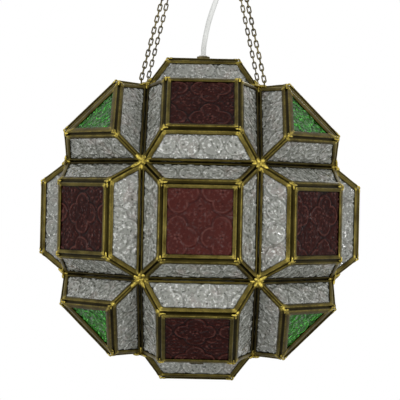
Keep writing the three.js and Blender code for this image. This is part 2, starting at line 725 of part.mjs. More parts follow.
// A round wire or flex along a curve
function wireAlong(curve, radius, sides, steps) {
  const outline = new THREE.Shape();
  for (let i = 0; i < sides; i += 1) {
    const angle = (i + 0.5) / sides * Math.PI * 2;
    const place = [radius * Math.cos(angle), radius * Math.sin(angle)];
    if (i) outline.lineTo(...place);
    else outline.moveTo(...place);
  }
  return new THREE.ExtrudeGeometry(outline, { steps, extrudePath: curve });
}

// The strap across the ceiling box: a flat bar with two screw slots and a blind threaded boss.
function ceilingStrap() {
  const outline = new THREE.Shape();
  const [x, y] = [STRAP_LENGTH / 2, STRAP_WIDTH / 2];
  outline.moveTo(-x, -y).lineTo(x, -y).lineTo(x, y).lineTo(-x, y);
  const flat = STRAP_SLOT_LENGTH / 2 - STRAP_SLOT_R;
  for (const slotX of [STRAP_SLOT_IN - x, x - STRAP_SLOT_IN]) {
    const slot = new THREE.Path();
    slot.absarc(slotX + flat, 0, STRAP_SLOT_R, -Math.PI / 2, Math.PI / 2, false);
    slot.absarc(slotX - flat, 0, STRAP_SLOT_R, Math.PI / 2, Math.PI * 1.5, false);
    outline.holes.push(slot);
  }
  const sheet = { depth: STRAP_SHEET, bevelEnabled: false, curveSegments: 6 };
  const bar = new THREE.ExtrudeGeometry(outline, sheet).translate(0, 0, -STRAP_SHEET);
  const bossFoot = -STRAP_SHEET - BOSS_LENGTH;
  const boss = rod(BOSS_R, bossFoot, -STRAP_SHEET / 2, 16);
  const bore = rod(HOOK_WIRE_R + FIT, bossFoot - FIT, bossFoot + SHANK_IN + FIT, 12);
  return geometryOf(solid(bar).add(solid(boss)).subtract(solid(bore)));
}

// The hook: a straight shank with the collar under the canopy, then a bend with its lowest point under
// the shank.
function ceilingHook() {
  const bend = HOOK_THROAT_R + HOOK_WIRE_R;
  const bendZ = -HOOK_DROP + bend;
  const top = -STRAP_SHEET - BOSS_LENGTH + SHANK_IN;
  const collarTop = -CANOPY_HEIGHT - FIT;
  const collarFoot = collarTop - COLLAR_HEIGHT;
  const points = [[0, top], [0, (top + collarTop) / 2], [0, collarTop], [0, collarFoot]];
  for (const degrees of HOOK_BEND) {
    const angle = THREE.MathUtils.degToRad(degrees);
    points.push([bend * Math.cos(angle), bendZ + bend * Math.sin(angle)]);
  }
  const path = points.map(([y, z]) => new THREE.Vector3(0, y, z));
  const wire = wireAlong(new THREE.CatmullRomCurve3(path, false, "centripetal"), HOOK_WIRE_R, 10, 26);
  const collar = turned([
    [0, collarFoot], [COLLAR_FOOT_R, collarFoot], [COLLAR_R, collarTop - COLLAR_EDGE],
    [COLLAR_R, collarTop], [0, collarTop],
  ], 16);
  return geometryOf(solid(wire).add(solid(collar)));
}

// The dome that covers the ceiling box, with a hole for the hook and one for the flex.
function canopy() {
  const dome = (inset) => [
    [CANOPY_R - inset, -FIT],
    ...CANOPY_DEGREES.map((degrees) => {
      const angle = THREE.MathUtils.degToRad(degrees);
      return [(CANOPY_R - inset) * Math.cos(angle), (inset - CANOPY_HEIGHT) * Math.sin(angle)];
    }),
    [HOOK_WIRE_R + FIT, inset - CANOPY_HEIGHT],
  ];
  const shell = turnedRing([...dome(CANOPY_WALL), ...dome(0).reverse()], 32);
  const hole = rod(GROMMET_R - GROMMET_LIP, -CANOPY_HEIGHT - FIT, -GROMMET_TOP, 12);
  return geometryOf(solid(shell).subtract(solid(hole.translate(GROMMET_X, 0, 0))));
}

// The bush in the canopy that the flex goes up into
function canopyBush() {
  const sleeve = GROMMET_R - GROMMET_LIP - FIT;
  const bed = -CANOPY_HEIGHT - FIT;
  const bush = turned([
    [0, bed - GROMMET_HEAD], [GROMMET_R - GROMMET_LIP, bed - GROMMET_HEAD], [GROMMET_R, bed],
    [sleeve, bed], [sleeve, -GROMMET_TOP], [0, -GROMMET_TOP],
  ], 16);
  return bush.translate(GROMMET_X, 0, 0);
}

function cord() {
  const foot = CENTRE_Z + bushTop + FIT;
  const head = -CANOPY_HEIGHT - FIT - GROMMET_HEAD - FIT;
  const stretch = (head - foot) / CORD_ROUTE.at(-1)[2];
  const points = CORD_ROUTE.map(([x, y, rise]) => new THREE.Vector3(x, y, foot + rise * stretch));
  return wireAlong(new THREE.CatmullRomCurve3(points), CORD_R, 8, 30);
}

// Puts the lantern together
for (const [name, face] of Object.entries(faces)) {
  if (name === "top") continue;
  if (face.sides === 3) add(`green_pane_${name}`, flatPane(face), "green", CENTRE_Z);
  else add(`red_pane_${name}`, flatPane(face), "red", CENTRE_Z);
}
for (let i = 0; i < sideNames.length; i += 2) {
  const [square, beside] = [sideNames[i], sideNames[i + 1]];
  for (const level of ["", "upper_", "lower_"]) {
    const pair = [faces[level + square], faces[level + beside]];
    add(`clear_panes_${level}${square}`, slopingPanes(pair), "clear", CENTRE_Z);
  }
}
add("clear_panes_top", slopingPanes([faces.top]), "clear", CENTRE_Z);
add("came_frame", cameFrame(), "brass", CENTRE_Z);
add("hinge_pin", pinRun(PIN_R, 0), "brass", CENTRE_Z);
add("door_frame", doorFrame(), "brass", CENTRE_Z);
add("door_red_pane", flatPane(doorFace), "red", CENTRE_Z);
add("door_clear_panes", slopingPanes([doorFace]), "clear", CENTRE_Z);
add("door_catch", doorCatch(), "brass", CENTRE_Z);
add("top_plate", topPlate(), "brass", CENTRE_Z);
add("nipple", nipple(), "brass", CENTRE_Z);
add("top_nut", topNut(), "brass", CENTRE_Z);
add("cord_bush", cordBush(), "white", CENTRE_Z);
add("lampholder", lampholder(), "black", CENTRE_Z);
add("bulb_cap", bulbCap(), "steel", CENTRE_Z);
add("bulb_glass", bulbGlass(), "white", CENTRE_Z);
for (const [x, y] of corners) {
  add(`chain_${y < 0 ? "front" : "rear"}_${x < 0 ? "left" : "right"}`, chain(x, y), "brass", CENTRE_Z);
}
add("top_ring", topRing(), "brass");
add("ceiling_strap", ceilingStrap(), "steel");
add("ceiling_hook", ceilingHook(), "brass");
add("canopy", canopy(), "brass");
add("canopy_bush", canopyBush(), "white");
add("cord", cord(), "white");

export default group;
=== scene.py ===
"""A glass pendant lantern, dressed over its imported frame.

Sizes are millimetres until a mesh is made. The lantern's own pieces are built round the middle of its
glass body and raised to CENTRE_Z; the frame's origin is on the ceiling, with +Z up.
"""

import math

import bmesh
import bpy
from mathutils import Matrix, Vector, noise


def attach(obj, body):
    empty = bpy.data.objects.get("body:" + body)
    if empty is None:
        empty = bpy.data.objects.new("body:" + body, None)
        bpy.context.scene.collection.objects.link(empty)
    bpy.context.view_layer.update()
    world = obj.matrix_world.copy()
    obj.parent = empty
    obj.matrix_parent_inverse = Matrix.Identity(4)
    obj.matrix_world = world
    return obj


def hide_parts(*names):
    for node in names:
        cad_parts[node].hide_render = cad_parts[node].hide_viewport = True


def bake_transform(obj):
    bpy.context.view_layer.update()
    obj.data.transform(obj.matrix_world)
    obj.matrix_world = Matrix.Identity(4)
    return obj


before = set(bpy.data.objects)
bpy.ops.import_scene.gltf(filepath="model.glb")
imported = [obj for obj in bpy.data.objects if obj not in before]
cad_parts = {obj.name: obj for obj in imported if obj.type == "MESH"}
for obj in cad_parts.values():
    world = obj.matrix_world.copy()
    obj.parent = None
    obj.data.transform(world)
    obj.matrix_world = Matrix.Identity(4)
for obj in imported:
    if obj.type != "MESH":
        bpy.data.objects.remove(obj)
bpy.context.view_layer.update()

MM = 0.001

# The part's own dimensions
FACE_SIDE = 130
FLAT_SIDE = 84.7
PANE_SLANT = 38.7
TOP_SLANT = 40.8
GLASS = 3
FIT = 0.3
LIP = 0.7
DOOR_GAP = 0.8
SQUARE_REACH = FACE_SIDE * (1 + math.sqrt(2)) / 2
CENTRE_Z = -535.7
PLATE_TOP = SQUARE_REACH + math.sqrt(TOP_SLANT**2 - (FACE_SIDE / 2 - FLAT_SIDE / 2) ** 2) - LIP - FIT
NIPPLE_R = 6
NIPPLE_BORE_R = 4.2
NIPPLE_RISE = 7
NIPPLE_TOP = PLATE_TOP + NIPPLE_RISE
NUT_FLATS = 15.5
NUT_HEIGHT = 6.6
NUT_CHAMFER = 0.9
NUT_BORE_R = NIPPLE_R + 0.2
BUSH_FLANGE = 1.2
HOLDER_TOP = PLATE_TOP - GLASS - 3
HOLDER_MOUTH = HOLDER_TOP - 48
HOLDER_R = 20
HOLDER_BORE_R = 14.2
HOLDER_FLOOR = HOLDER_MOUTH + 34
HOLDER_SHELF = HOLDER_FLOOR + 4
BULB_TOP = HOLDER_FLOOR - 1.5
BULB_R = 30
BULB_LENGTH = 108
BULB_WALL = 1
BULB_CAP_R = 13.2
BULB_CAP_LENGTH = 26
RING_R = 15
RING_WIRE_R = 1.5
RING_MIDDLE_Z = -72.7
EYELET_R = 3.3
EYELET_WIRE_R = 0.8
EYELET_SINK = 0.6
EYELET_OUT = 9.2
CHAIN_WIRE_R = 0.85
LINK_WIDTH = 5.7
LINK_PITCH = 7.36
JUMP_RING_R = 4.6
CHAIN_ANGLES = (10, 30)
HOOK_WIRE_R = 2.5
HOOK_BEND_R = 11.5
HOOK_DROP = 62
HOOK_TOP = -5.5
HOOK_HOLE_R = HOOK_WIRE_R + FIT
CANOPY_R = 60
CANOPY_HEIGHT = 30
CANOPY_WALL = 1.1
COLLAR_R = 10
COLLAR_HEIGHT = 7
COLLAR_TOP = -30.3
COLLAR_FOOT = COLLAR_TOP - COLLAR_HEIGHT
GROMMET_X = 31
GROMMET_R = 6
GROMMET_TOP = -14
GROMMET_FOOT = -33.3
KNUCKLE_R = 3
KNUCKLE_BORE_R = 1.5
KNUCKLE_LENGTH = 14
LEAF_REACH = 8.0
LEAF_RISE = 1.25
LEAF_CUT = 1.5
CORD_R = 3.15
BUSH_BORE_R = CORD_R + 0.05
CORD_FOOT = CENTRE_Z + NIPPLE_TOP + FIT + BUSH_FLANGE + FIT
CORD_HEAD = -33.6
CORD_ROUTE = [
    (0, 0, 0), (0.2, 0, 9), (1.4, -0.3, 19), (3.6, -0.8, 31), (6.6, -1.4, 44), (13, -2.6, 64),
    (22.5, -4, 88), (33.5, -5.4, 116), (43, -6, 146), (49, -6, 177), (51, -5, 208),
    (48, -3, 240), (39.5, -1, 270), (32, -0.2, 292), (31, 0, 303.4),
]

# The came along an edge: where its web starts, how far the web leans in, and where its lip ends, all
# in from the pane's edge
FLAT_CAME = (0.7, 1.5, 6.3)
GREEN_CAME = (0.7, 0.2, 7.4)
RIDGE_CAME = (0.8, 2.5, 7.8)
HIP_CAME = (1.5, 0.3, 6.6)
VALLEY_CAME = (0.5, 0.2, 3.9)
# Where the sections of came stand along an edge, as shares of it, closer together at its corners
CAME_STATIONS = [
    0, 0.02, 0.045, 0.075, 0.11, 0.16, 0.24, 0.37, 0.5, 0.63, 0.76, 0.84, 0.89, 0.925, 0.955, 0.98,
]

# Camera, from the photograph's fit
CAMERA_PLACE = Vector((-0.3, -1815.6, -512.2))
CAMERA_LENS = 135.0
CAMERA_SENSOR = 36
CAMERA_ROLL = math.radians(1.25)


# Camera

camera_data = bpy.data.cameras.new("camera")
camera_data.sensor_fit = "HORIZONTAL"
camera_data.sensor_width = CAMERA_SENSOR
camera_data.lens = CAMERA_LENS
camera_data.clip_end = 50
camera = bpy.data.objects.new("camera", camera_data)
bpy.context.collection.objects.link(camera)
camera.matrix_world = (
    Matrix.Translation(CAMERA_PLACE * MM)
    @ Matrix.Rotation(math.pi / 2, 4, "X")
    @ Matrix.Rotation(CAMERA_ROLL, 4, "Z")
)
bpy.context.scene.camera = camera


# Materials


def shaded(color, share):
    """A colour with only a share of its light left."""
    return tuple(c * share for c in color)


class Finish:
    """A material whose nodes are made one after another."""

    def __init__(self, name, **sockets):
        self.material = bpy.data.materials.new(name)
        self.material.use_nodes = True
        self.tree = self.material.node_tree
        self.shader = self.tree.nodes["Principled BSDF"]
        for socket, value in sockets.items():
            self.shader.inputs[socket.replace("_", " ")].default_value = value
        self.place = self.node("ShaderNodeTexCoord").outputs["Object"]
        self.bumped = None

    def node(self, kind, **settings):
        node = self.tree.nodes.new(kind)
        for key, value in settings.items():
            if key in node.inputs:
                if isinstance(value, bpy.types.NodeSocket):
                    self.tree.links.new(value, node.inputs[key])
                else:
                    node.inputs[key].default_value = value
            else:
                setattr(node, key, value)
        return node

    def noise(self, scale, detail=3, rough=0.55):
        settings = {"Vector": self.place, "Scale": scale, "Detail": detail, "Roughness": rough}
        return self.node("ShaderNodeTexNoise", **settings).outputs["Fac"]

    def cells(self, scale, feature="F1", smooth=0.0):
        node = self.node("ShaderNodeTexVoronoi", feature=feature)
        self.tree.links.new(self.place, node.inputs["Vector"])
        node.inputs["Scale"].default_value = scale
        if "Smoothness" in node.inputs:
            node.inputs["Smoothness"].default_value = smooth
        return node.outputs["Distance"]

    def attribute(self, name):
        return self.node("ShaderNodeAttribute", attribute_name=name).outputs["Fac"]

    def between(self, value, low, high):
        """A value from 0 to 1 as another goes from low to high."""
        node = self.node("ShaderNodeMapRange")
        node.inputs["From Min"].default_value = low
        node.inputs["From Max"].default_value = high
        self.tree.links.new(value, node.inputs["Value"])
        return node.outputs["Result"]

    def ramp(self, value, *stops):
        node = self.node("ShaderNodeValToRGB")
        elements = node.color_ramp.elements
        while len(elements) < len(stops):
            elements.new(0.5)
        for element, (position, color) in zip(elements, stops):
            element.position = position
            element.color = (*color, 1) if isinstance(color, tuple) else (color, color, color, 1)
        self.tree.links.new(value, node.inputs["Fac"])
        return node.outputs["Color"]

    def mix(self, share, a, b, blend="MIX"):
        node = self.node("ShaderNodeMix", data_type="RGBA", blend_type=blend)
        for index, value in ((0, share), (6, a), (7, b)):
            if isinstance(value, bpy.types.NodeSocket):
                self.tree.links.new(value, node.inputs[index])
            elif index:
                node.inputs[index].default_value = (*value, 1)
            else:
                node.inputs[index].default_value = value
        return node.outputs[2]

    def bump(self, height, depth, strength=1.0):
        node = self.node("ShaderNodeBump", Height=height, Strength=strength, Distance=depth * MM)
        if self.bumped:
            self.tree.links.new(self.bumped, node.inputs["Normal"])
        self.bumped = node.outputs["Normal"]
        self.tree.links.new(self.bumped, self.shader.inputs["Normal"])

    def into(self, socket, value):
        self.tree.links.new(value, self.shader.inputs[socket])


def brass(name, dark, light, solder=None):
    """Old brass, brown and yellower in random patches and bright where it is soldered; the solder attribute
    also carries the came's painted shade and painted highlight.
    """
    finish = Finish(name, Metallic=1.0, Roughness=0.42)
    patina = finish.noise(60, 5, 0.62)
    color = finish.ramp(patina, (0.33, dark), (0.68, light))
    fine = finish.noise(900, 3)
    color = finish.mix(finish.ramp(fine, (0.35, 0.0), (0.75, 0.5)), color, shaded(dark, 0.45))
    if solder:
        # The solder attribute: above 0 the share of solder and of the painted highlight, below 0 the painted
        # shade
        share = finish.attribute("solder")
        flecks = finish.noise(300, 4, 0.75)
        gold = finish.ramp(flecks, (0.38, dark), (0.48, shaded(solder, 0.5)), (0.62, solder))
        color = finish.mix(share, color, gold)
        # Painted shade: below 0 the came darkens towards a fifth of its dark colour
        color = finish.mix(finish.between(share, -0.05, -0.8), color, shaded(dark, 0.2))
    finish.into("Base Color", color)
    finish.into("Roughness", finish.ramp(finish.noise(240, 3), (0.3, 0.34), (0.75, 0.58)))
    finish.bump(finish.noise(750, 4, 0.6), 0.25, 0.5)
    return finish.material


# The press of the relief at which the painted highlight on its crests, the painted shade in its grooves and
# the painted shadow beside the came each begin and are full
CREST_PRESS = (0.16, 0.42)
GROOVE_PRESS = (-0.04, -0.34)
SHADOW_PRESS = (-0.45, -0.8)


def glass(name, body, cloud, flank, crest, tint_and_reflection, painted_glints_and_specks, lines, hammer, **sockets):
    """Pressed glass, its colour painted with light and shade: a painted highlight on the crests of its
    relief, painted shade in its grooves, a painted shadow beside the came, painted glints and dark specks,
    and a tint in patches that in the clear glass is a painted pink reflection of the red panes.
    """
    finish = Finish(name, IOR=1.5, **sockets)
    press = finish.attribute("press")
    color = finish.mix(finish.ramp(finish.noise(34, 4, 0.6), (0.42, 0.0), (0.66, 0.8)), body, cloud)
    # A tint in patches: in the clear glass a painted pink reflection of the red panes, in the coloured glass
    # a change of tone
    color = finish.mix(finish.ramp(finish.noise(52, 3, 0.6), (0.52, 0.0), (0.68, 0.45)), color, tint_and_reflection)
    # Painted glints and dark specks at random: small reflections of light and refractions of dark
    grain = finish.noise(300, 1.5, 0.6)
    color = finish.mix(finish.ramp(grain, (0.31, painted_glints_and_specks), (0.40, 0.0)), color, flank)
    color = finish.mix(finish.ramp(grain, (0.60, 0.0), (0.67, painted_glints_and_specks)), color, crest)
    # Painted highlight on the crests of the relief, stronger in patches
    light = finish.mix(finish.ramp(finish.noise(75, 3, 0.6), (0.40, 0.1), (0.62, lines)), color, crest)
    highlight_and_solder = finish.ramp(press, (CREST_PRESS[0], 0.0), (CREST_PRESS[1], 1.0))
    color = finish.mix(highlight_and_solder, color, light)
    # Painted shade in the grooves of the relief, stronger in patches
    dark = finish.mix(finish.ramp(finish.noise(85, 3, 0.6), (0.38, 0.25), (0.60, lines)), color, flank)
    color = finish.mix(finish.between(press, *GROOVE_PRESS), color, dark)
    # Painted shadow beside the came
    color = finish.mix(finish.between(press, *SHADOW_PRESS), color, shaded(flank, 0.5))
    finish.into("Base Color", color)
    finish.bump(finish.cells(190, "SMOOTH_F1", 0.8), 1.5, hammer)
    finish.bump(finish.noise(135, 1, 0.5), 3.0, hammer)
    return finish.material


def plain(name, color, roughness, grain=300, depth=0.05, **sockets):
    """Moulded plastic or plated steel with a faint grain."""
    finish = Finish(name, **sockets)
    shade = finish.ramp(finish.noise(grain / 6, 3), (0.3, shaded(color, 0.88)), (0.7, color))
    finish.into("Base Color", shade)
    finish.into("Roughness", finish.ramp(finish.noise(grain, 3), (0.3, roughness * 0.85), (0.7, roughness)))
    finish.bump(finish.noise(grain * 2, 3), depth, 0.5)
    return finish.material


CAME_DARK = (0.042, 0.031, 0.007)
CAME_LIGHT = (0.142, 0.114, 0.030)
SOLDER_GOLD = (0.62, 0.49, 0.10)
came_brass = brass("came_brass", CAME_DARK, CAME_LIGHT, SOLDER_GOLD)
old_brass = brass("old_brass", (0.05, 0.04, 0.018), (0.20, 0.165, 0.075))
# A darker copy of the brass for the webs deep in the valleys: painted shade
valley_shade_brass = brass("valley_shade_brass", (0.032, 0.025, 0.007), (0.085, 0.07, 0.02))
clear_glass = glass(
    "clear_glass",
    body=(0.38, 0.39, 0.345), cloud=(0.29, 0.30, 0.26), flank=(0.08, 0.085, 0.06),
    crest=(0.84, 0.85, 0.80), tint_and_reflection=(0.43, 0.335, 0.30), painted_glints_and_specks=0.95, lines=0.5, hammer=1.0,
    Roughness=0.05, Transmission_Weight=0.42, Specular_IOR_Level=1.0,
)
red_glass = glass(
    "red_glass",
    body=(0.059, 0.010, 0.007), cloud=(0.045, 0.0075, 0.005), flank=(0.026, 0.004, 0.003),
    crest=(0.125, 0.042, 0.033), tint_and_reflection=(0.045, 0.010, 0.008), painted_glints_and_specks=0.4, lines=0.65, hammer=0.4,
    Roughness=0.25, Transmission_Weight=0.1, Specular_IOR_Level=0.06,
)
# A darker copy of the red glass, for every red pane but the front: painted shade, as these get less light
# than the front
shaded_red_glass = glass(
    "shaded_red_glass",
    body=(0.027, 0.0045, 0.0030), cloud=(0.017, 0.0028, 0.0020), flank=(0.004, 0.002, 0.002),
    crest=(0.105, 0.036, 0.028), tint_and_reflection=(0.034, 0.009, 0.006), painted_glints_and_specks=0.6, lines=0.75, hammer=0.45,
    Roughness=0.2, Transmission_Weight=0.1, Specular_IOR_Level=0.03,
)
green_glass = glass(
    "green_glass",
    body=(0.024, 0.125, 0.007), cloud=(0.010, 0.055, 0.005), flank=(0.005, 0.02, 0.004),
    crest=(0.10, 0.64, 0.06), tint_and_reflection=(0.02, 0.27, 0.012), painted_glints_and_specks=0.9, lines=0.5, hammer=1.0,
    Roughness=0.08, Transmission_Weight=0.2, Specular_IOR_Level=0.2,
)
white_plastic = plain("white_plastic", (0.80, 0.79, 0.75), 0.4)
flex_white = plain("flex_white", (0.78, 0.79, 0.77), 0.45)
black_plastic = plain("black_plastic", (0.03, 0.03, 0.03), 0.45)
zinc = plain("zinc", (0.42, 0.42, 0.41), 0.35, 500, 0.1, Metallic=1.0)
frosted_glass = plain("frosted_glass", (0.88, 0.88, 0.85), 0.35, Transmission_Weight=0.6)


# Mesh helpers


class Skin:
    """Points, faces and a value for each point, such as its share of solder, gathered for one mesh."""

    def __init__(self):
        self.points = []
        self.faces = []
        self.values = []

    def add(self, points, faces, values=None):
        first = len(self.points)
        self.points += points
        self.faces += [[first + i for i in face] for face in faces]
        self.values += values or [0.0] * len(points)

    def loft(self, rings, values=None, round_trip=False, caps=False):
        """Bands between rings of as many points each, each ring closed on itself."""
        size = len(rings[0])
        faces = []
        last = len(rings) if round_trip else len(rings) - 1
        for i in range(last):
            here, there = i * size, (i + 1) % len(rings) * size
            for j in range(size):
                k = (j + 1) % size
                faces.append([here + j, here + k, there + k, there + j])
        if caps:
            faces.append(list(range(size)))
            faces.append(list(range((len(rings) - 1) * size, len(rings) * size)))
        flat = [value for row in values for value in row] if values else None
        self.add([p for ring in rings for p in ring], faces, flat)

    def piece(self, name, material, body, slot, replaces=(), crease=45, raised=True, values="solder"):
        """Makes the object, in metres, and hangs it on its body."""
        lift = Vector((0, 0, CENTRE_Z if raised else 0))
        mesh = bpy.data.meshes.new(name)
        mesh.from_pydata([(p + lift) * MM for p in self.points], [], self.faces)
        if any(self.values):
            mesh.attributes.new(values, "FLOAT", "POINT").data.foreach_set("value", self.values)
        tidy = bmesh.new()
        tidy.from_mesh(mesh)
        bmesh.ops.recalc_face_normals(tidy, faces=tidy.faces)
        tidy.to_mesh(mesh)
        tidy.free()
        mesh.shade_smooth()
        mesh.set_sharp_from_angle(angle=math.radians(crease))
        mesh.materials.append(material)
        made = bpy.data.objects.new(name, mesh)
        bpy.context.collection.objects.link(made)
        if body:
            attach(made, body)
        if replaces:
            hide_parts(*replaces)
        return made


def smooth(value):
    value = min(max(value, 0), 1)
    return value * value * (3 - 2 * value)


def rough(point, scale, seed=0.0):
    """A steady noise from -1 to 1 with features of about a scale, in millimetres."""
    return noise.noise(point / scale + Vector((seed, seed * 1.7, seed * 0.6)))


def lathe(profile, sides=48, middle=(0, 0)):
    """A skin turned about Z from points of radius and height."""
    skin = Skin()
    rings = []
    for radius, height in profile:
        ring = []
        for i in range(sides):
            angle = math.tau * i / sides
            x = middle[0] + radius * math.cos(angle)
            y = middle[1] + radius * math.sin(angle)
            ring.append(Vector((x, y, height)))
        rings.append(ring)
    skin.loft(rings, round_trip=True)
    return skin


def curve_through(points, steps):
    """The centripetal curve through points, as the part's source draws it."""
    path = [2 * points[0] - points[1], *points, 2 * points[-1] - points[-2]]
    out = []
    for a, b, c, d in zip(path, path[1:], path[2:], path[3:]):
        ab, bc, cd = ((q - p).length ** 0.5 for p, q in ((a, b), (b, c), (c, d)))
        start = ((b - a) / ab - (c - a) / (ab + bc) + (c - b) / bc) * bc
        end = ((c - b) / bc - (d - b) / (bc + cd) + (d - c) / cd) * bc
        for i in range(steps):
            t = i / steps
            out.append(
                b * (2 * t**3 - 3 * t**2 + 1) + start * (t**3 - 2 * t**2 + t)
                + c * (3 * t**2 - 2 * t**3) + end * (t**3 - t**2)
            )
    return [*out, points[-1]]


def tube(skin, path, radius, sides=12, closed=False, across=None):
    """A round wire along a path, closed on itself or with flat ends."""
    count = len(path)
    rings = []
    side = across
    for i, point in enumerate(path):
        before = path[i - 1] if closed or i else point
        after = path[(i + 1) % count] if closed or i < count - 1 else point
        heading = (after - before).normalized()
        if side is None:
            side = heading.orthogonal()
        side = (side - heading * side.dot(heading)).normalized()
        up = heading.cross(side)
        ring = []
        for j in range(sides):
            angle = math.tau * (j + 0.5) / sides
            ring.append(point + (side * math.cos(angle) + up * math.sin(angle)) * radius)
        rings.append(ring)
    skin.loft(rings, round_trip=closed, caps=not closed)


def ball(skin, middle, axes, seed, solder, lumps=0.22, size=(10, 7)):
    """A lumpy ellipsoid on three axes, whose lengths are its radii."""
    around, up = size
    points = []
    for i in range(up + 1):
        tilt = math.pi * i / up
        for j in range(around):
            turn = math.tau * j / around
            unit = (math.sin(tilt) * math.cos(turn), math.sin(tilt) * math.sin(turn), math.cos(tilt))
            arm = sum((axis * share for axis, share in zip(axes, unit)), Vector())
            points.append(middle + arm * (1 + lumps * rough(middle + arm, 1.6, seed)))
    rings = [points[i * around : (i + 1) * around] for i in range(up + 1)]
    skin.loft(rings, [[solder] * around for _ in rings])


# The raised faces

# How far the painted shadow line beside the came reaches over the glass
SHADOW_REACH = 1.5


class Pane:
    """One pane's place: its corners in its outer plane, anticlockwise from outside."""

    def __init__(self, corners, normal, came):
        self.came = came
        self.normal = normal.normalized()
        self.middle = sum(corners, Vector()) / len(corners)
        self.right = (corners[1] - corners[0]).normalized()
        self.up = self.normal.cross(self.right)
        self.corners = corners
        self.flat = [
            Vector(((c - self.middle).dot(self.right), (c - self.middle).dot(self.up))) for c in corners
        ]
        edges = [(b - a).normalized() for a, b in zip(self.flat, self.flat[1:] + self.flat[:1])]
        self.inward = [Vector((-edge.y, edge.x)) for edge in edges]

    def at(self, x, y, height):
        return self.middle + self.right * x + self.up * y + self.normal * height

    def inset(self, distances):
        """The corners drawn in from each edge by its own distance."""
        count = len(self.flat)
        drawn = []
        for i in range(count):
            a, b = self.inward[i - 1], self.inward[i]
            near, far = distances[i - 1], distances[i]
            lean = a.dot(b)
            shift = a * (near - far * lean) + b * (far - near * lean)
            drawn.append(self.flat[i] + shift / (1 - lean * lean))
        return drawn

    def shade(self, flat):
        """How far a place lies in the shadow line beside the came, from 0 to 1."""
        gaps = []
        for inward, corner, came in zip(self.inward, self.flat, self.came):
            gaps.append(inward.dot(flat - corner) - came[2])
        return smooth(1 - min(gaps) / SHADOW_REACH)


def body_corners():
    """The corners of the glass body, three in each octant."""
    found = []
    for far in range(3):
        reach = [FACE_SIDE / 2] * 3
        reach[far] = SQUARE_REACH
        for signs in range(8):
            found.append(Vector([size if signs >> axis & 1 else -size for axis, size in enumerate(reach)]))
    return found


class RaisedFace:
    """One face of the glass body, raised into a flat pane and a ring of sloping panes."""

    def __init__(self, direction, trim=0.0, slant=PANE_SLANT):
        self.normal = Vector(direction).normalized()
        everything = body_corners()
        reach = max(p.dot(self.normal) for p in everything)
        mine = [p for p in everything if p.dot(self.normal) > reach - 0.01]
        self.middle = self.normal * reach
        right = (mine[0] - self.middle).normalized()
        ahead = self.normal.cross(right)

        def turn(point):
            arm = point - self.middle
            return math.atan2(arm.dot(ahead), arm.dot(right)) % math.tau

        mine.sort(key=turn)
        self.vertices = mine
        self.sides = len(mine)
        to_edge = math.tan(math.pi / self.sides) * 2
        base_reach = FACE_SIDE / to_edge
        flat_reach = FLAT_SIDE / to_edge
        self.height = math.sqrt(slant**2 - (base_reach - flat_reach) ** 2)
        keep = 1 - trim / base_reach
        self.base = [self.middle.lerp(p, keep) for p in mine]
        crest = self.middle + self.normal * self.height
        share = flat_reach / base_reach
        self.ridge = [crest + (p - self.middle) * share for p in mine]
        flat_came = GREEN_CAME if self.sides == 3 else FLAT_CAME
        self.flat_pane = Pane(self.ridge, self.normal, [flat_came] * self.sides)
        self.sloping = []
        for k in range(self.sides):
            n = (k + 1) % self.sides
            corners = [self.base[k], self.base[n], self.ridge[n], self.ridge[k]]
            outward = (corners[1] - corners[0]).cross(corners[2] - corners[1])
            self.sloping.append(Pane(corners, outward, [VALLEY_CAME, HIP_CAME, RIDGE_CAME, HIP_CAME]))


RING = {
    "front": (0, -1), "front_right": (1, -1), "right": (1, 0), "rear_right": (1, 1),
    "rear": (0, 1), "rear_left": (-1, 1), "left": (-1, 0), "front_left": (-1, -1),
}
LEVELS = {"": 0, "upper_": 1, "lower_": -1}
faces = {}
for level, z in LEVELS.items():
    for name, (x, y) in RING.items():
        faces[level + name] = RaisedFace((x, y, z))
faces["top"] = RaisedFace((0, 0, 1), 0, TOP_SLANT)
door_face = RaisedFace((0, 0, -1), DOOR_GAP)
hinge_axis = Vector((0, 66.484, -160.506))


# Came and solder

# Heights in a channel of came above the pane's outer plane, and the thickness of its web
CAME_FOOT = -4.7
GROOVE_FOOT = -4.1
GROOVE_TOP = -0.8
CAME_WEB = 0.9


def came_section(start, lean, end):
    """The section of a channel of came: in from the pane's edge, and above the pane's outer plane."""
    crown = start + lean
    span = end - crown
    web = crown + CAME_WEB
    return [
        (start, CAME_FOOT), (start, -2.6), (crown, -0.35), (crown + 0.15, 0.1),
        (crown + span * 0.18, 0.42), (crown + span * 0.42, 0.55), (crown + span * 0.68, 0.48),
        (end - 0.5, 0.25), (end, -0.15), (end, GROOVE_TOP), (web, GROOVE_TOP),
        (web, GROOVE_FOOT), (end, GROOVE_FOOT), (end, CAME_FOOT),
    ]


# How light or dark the came is painted at each point of its section: below 0 it is painted shade, deepest on
# the wall in the gap beside the next came and in the groove that holds the glass, and a little darker at the
# lip's inner edge; the 0.26 at the crown's edge is a painted highlight line
CAME_PAINTED_LIGHT = [-0.8, -0.8, -0.5, 0.26, 0.1, -0.02, -0.06, -0.1, -0.4, -0.9, -0.9, -0.9, -0.9, -0.9]
# Points painted lighter than this also take solder; darker points lie in the painted shade
SOLDERED_ABOVE = -0.15
# Painted shade taken off the came along a valley, where two panes face each other
VALLEY_PAINTED_SHADE = 0.26


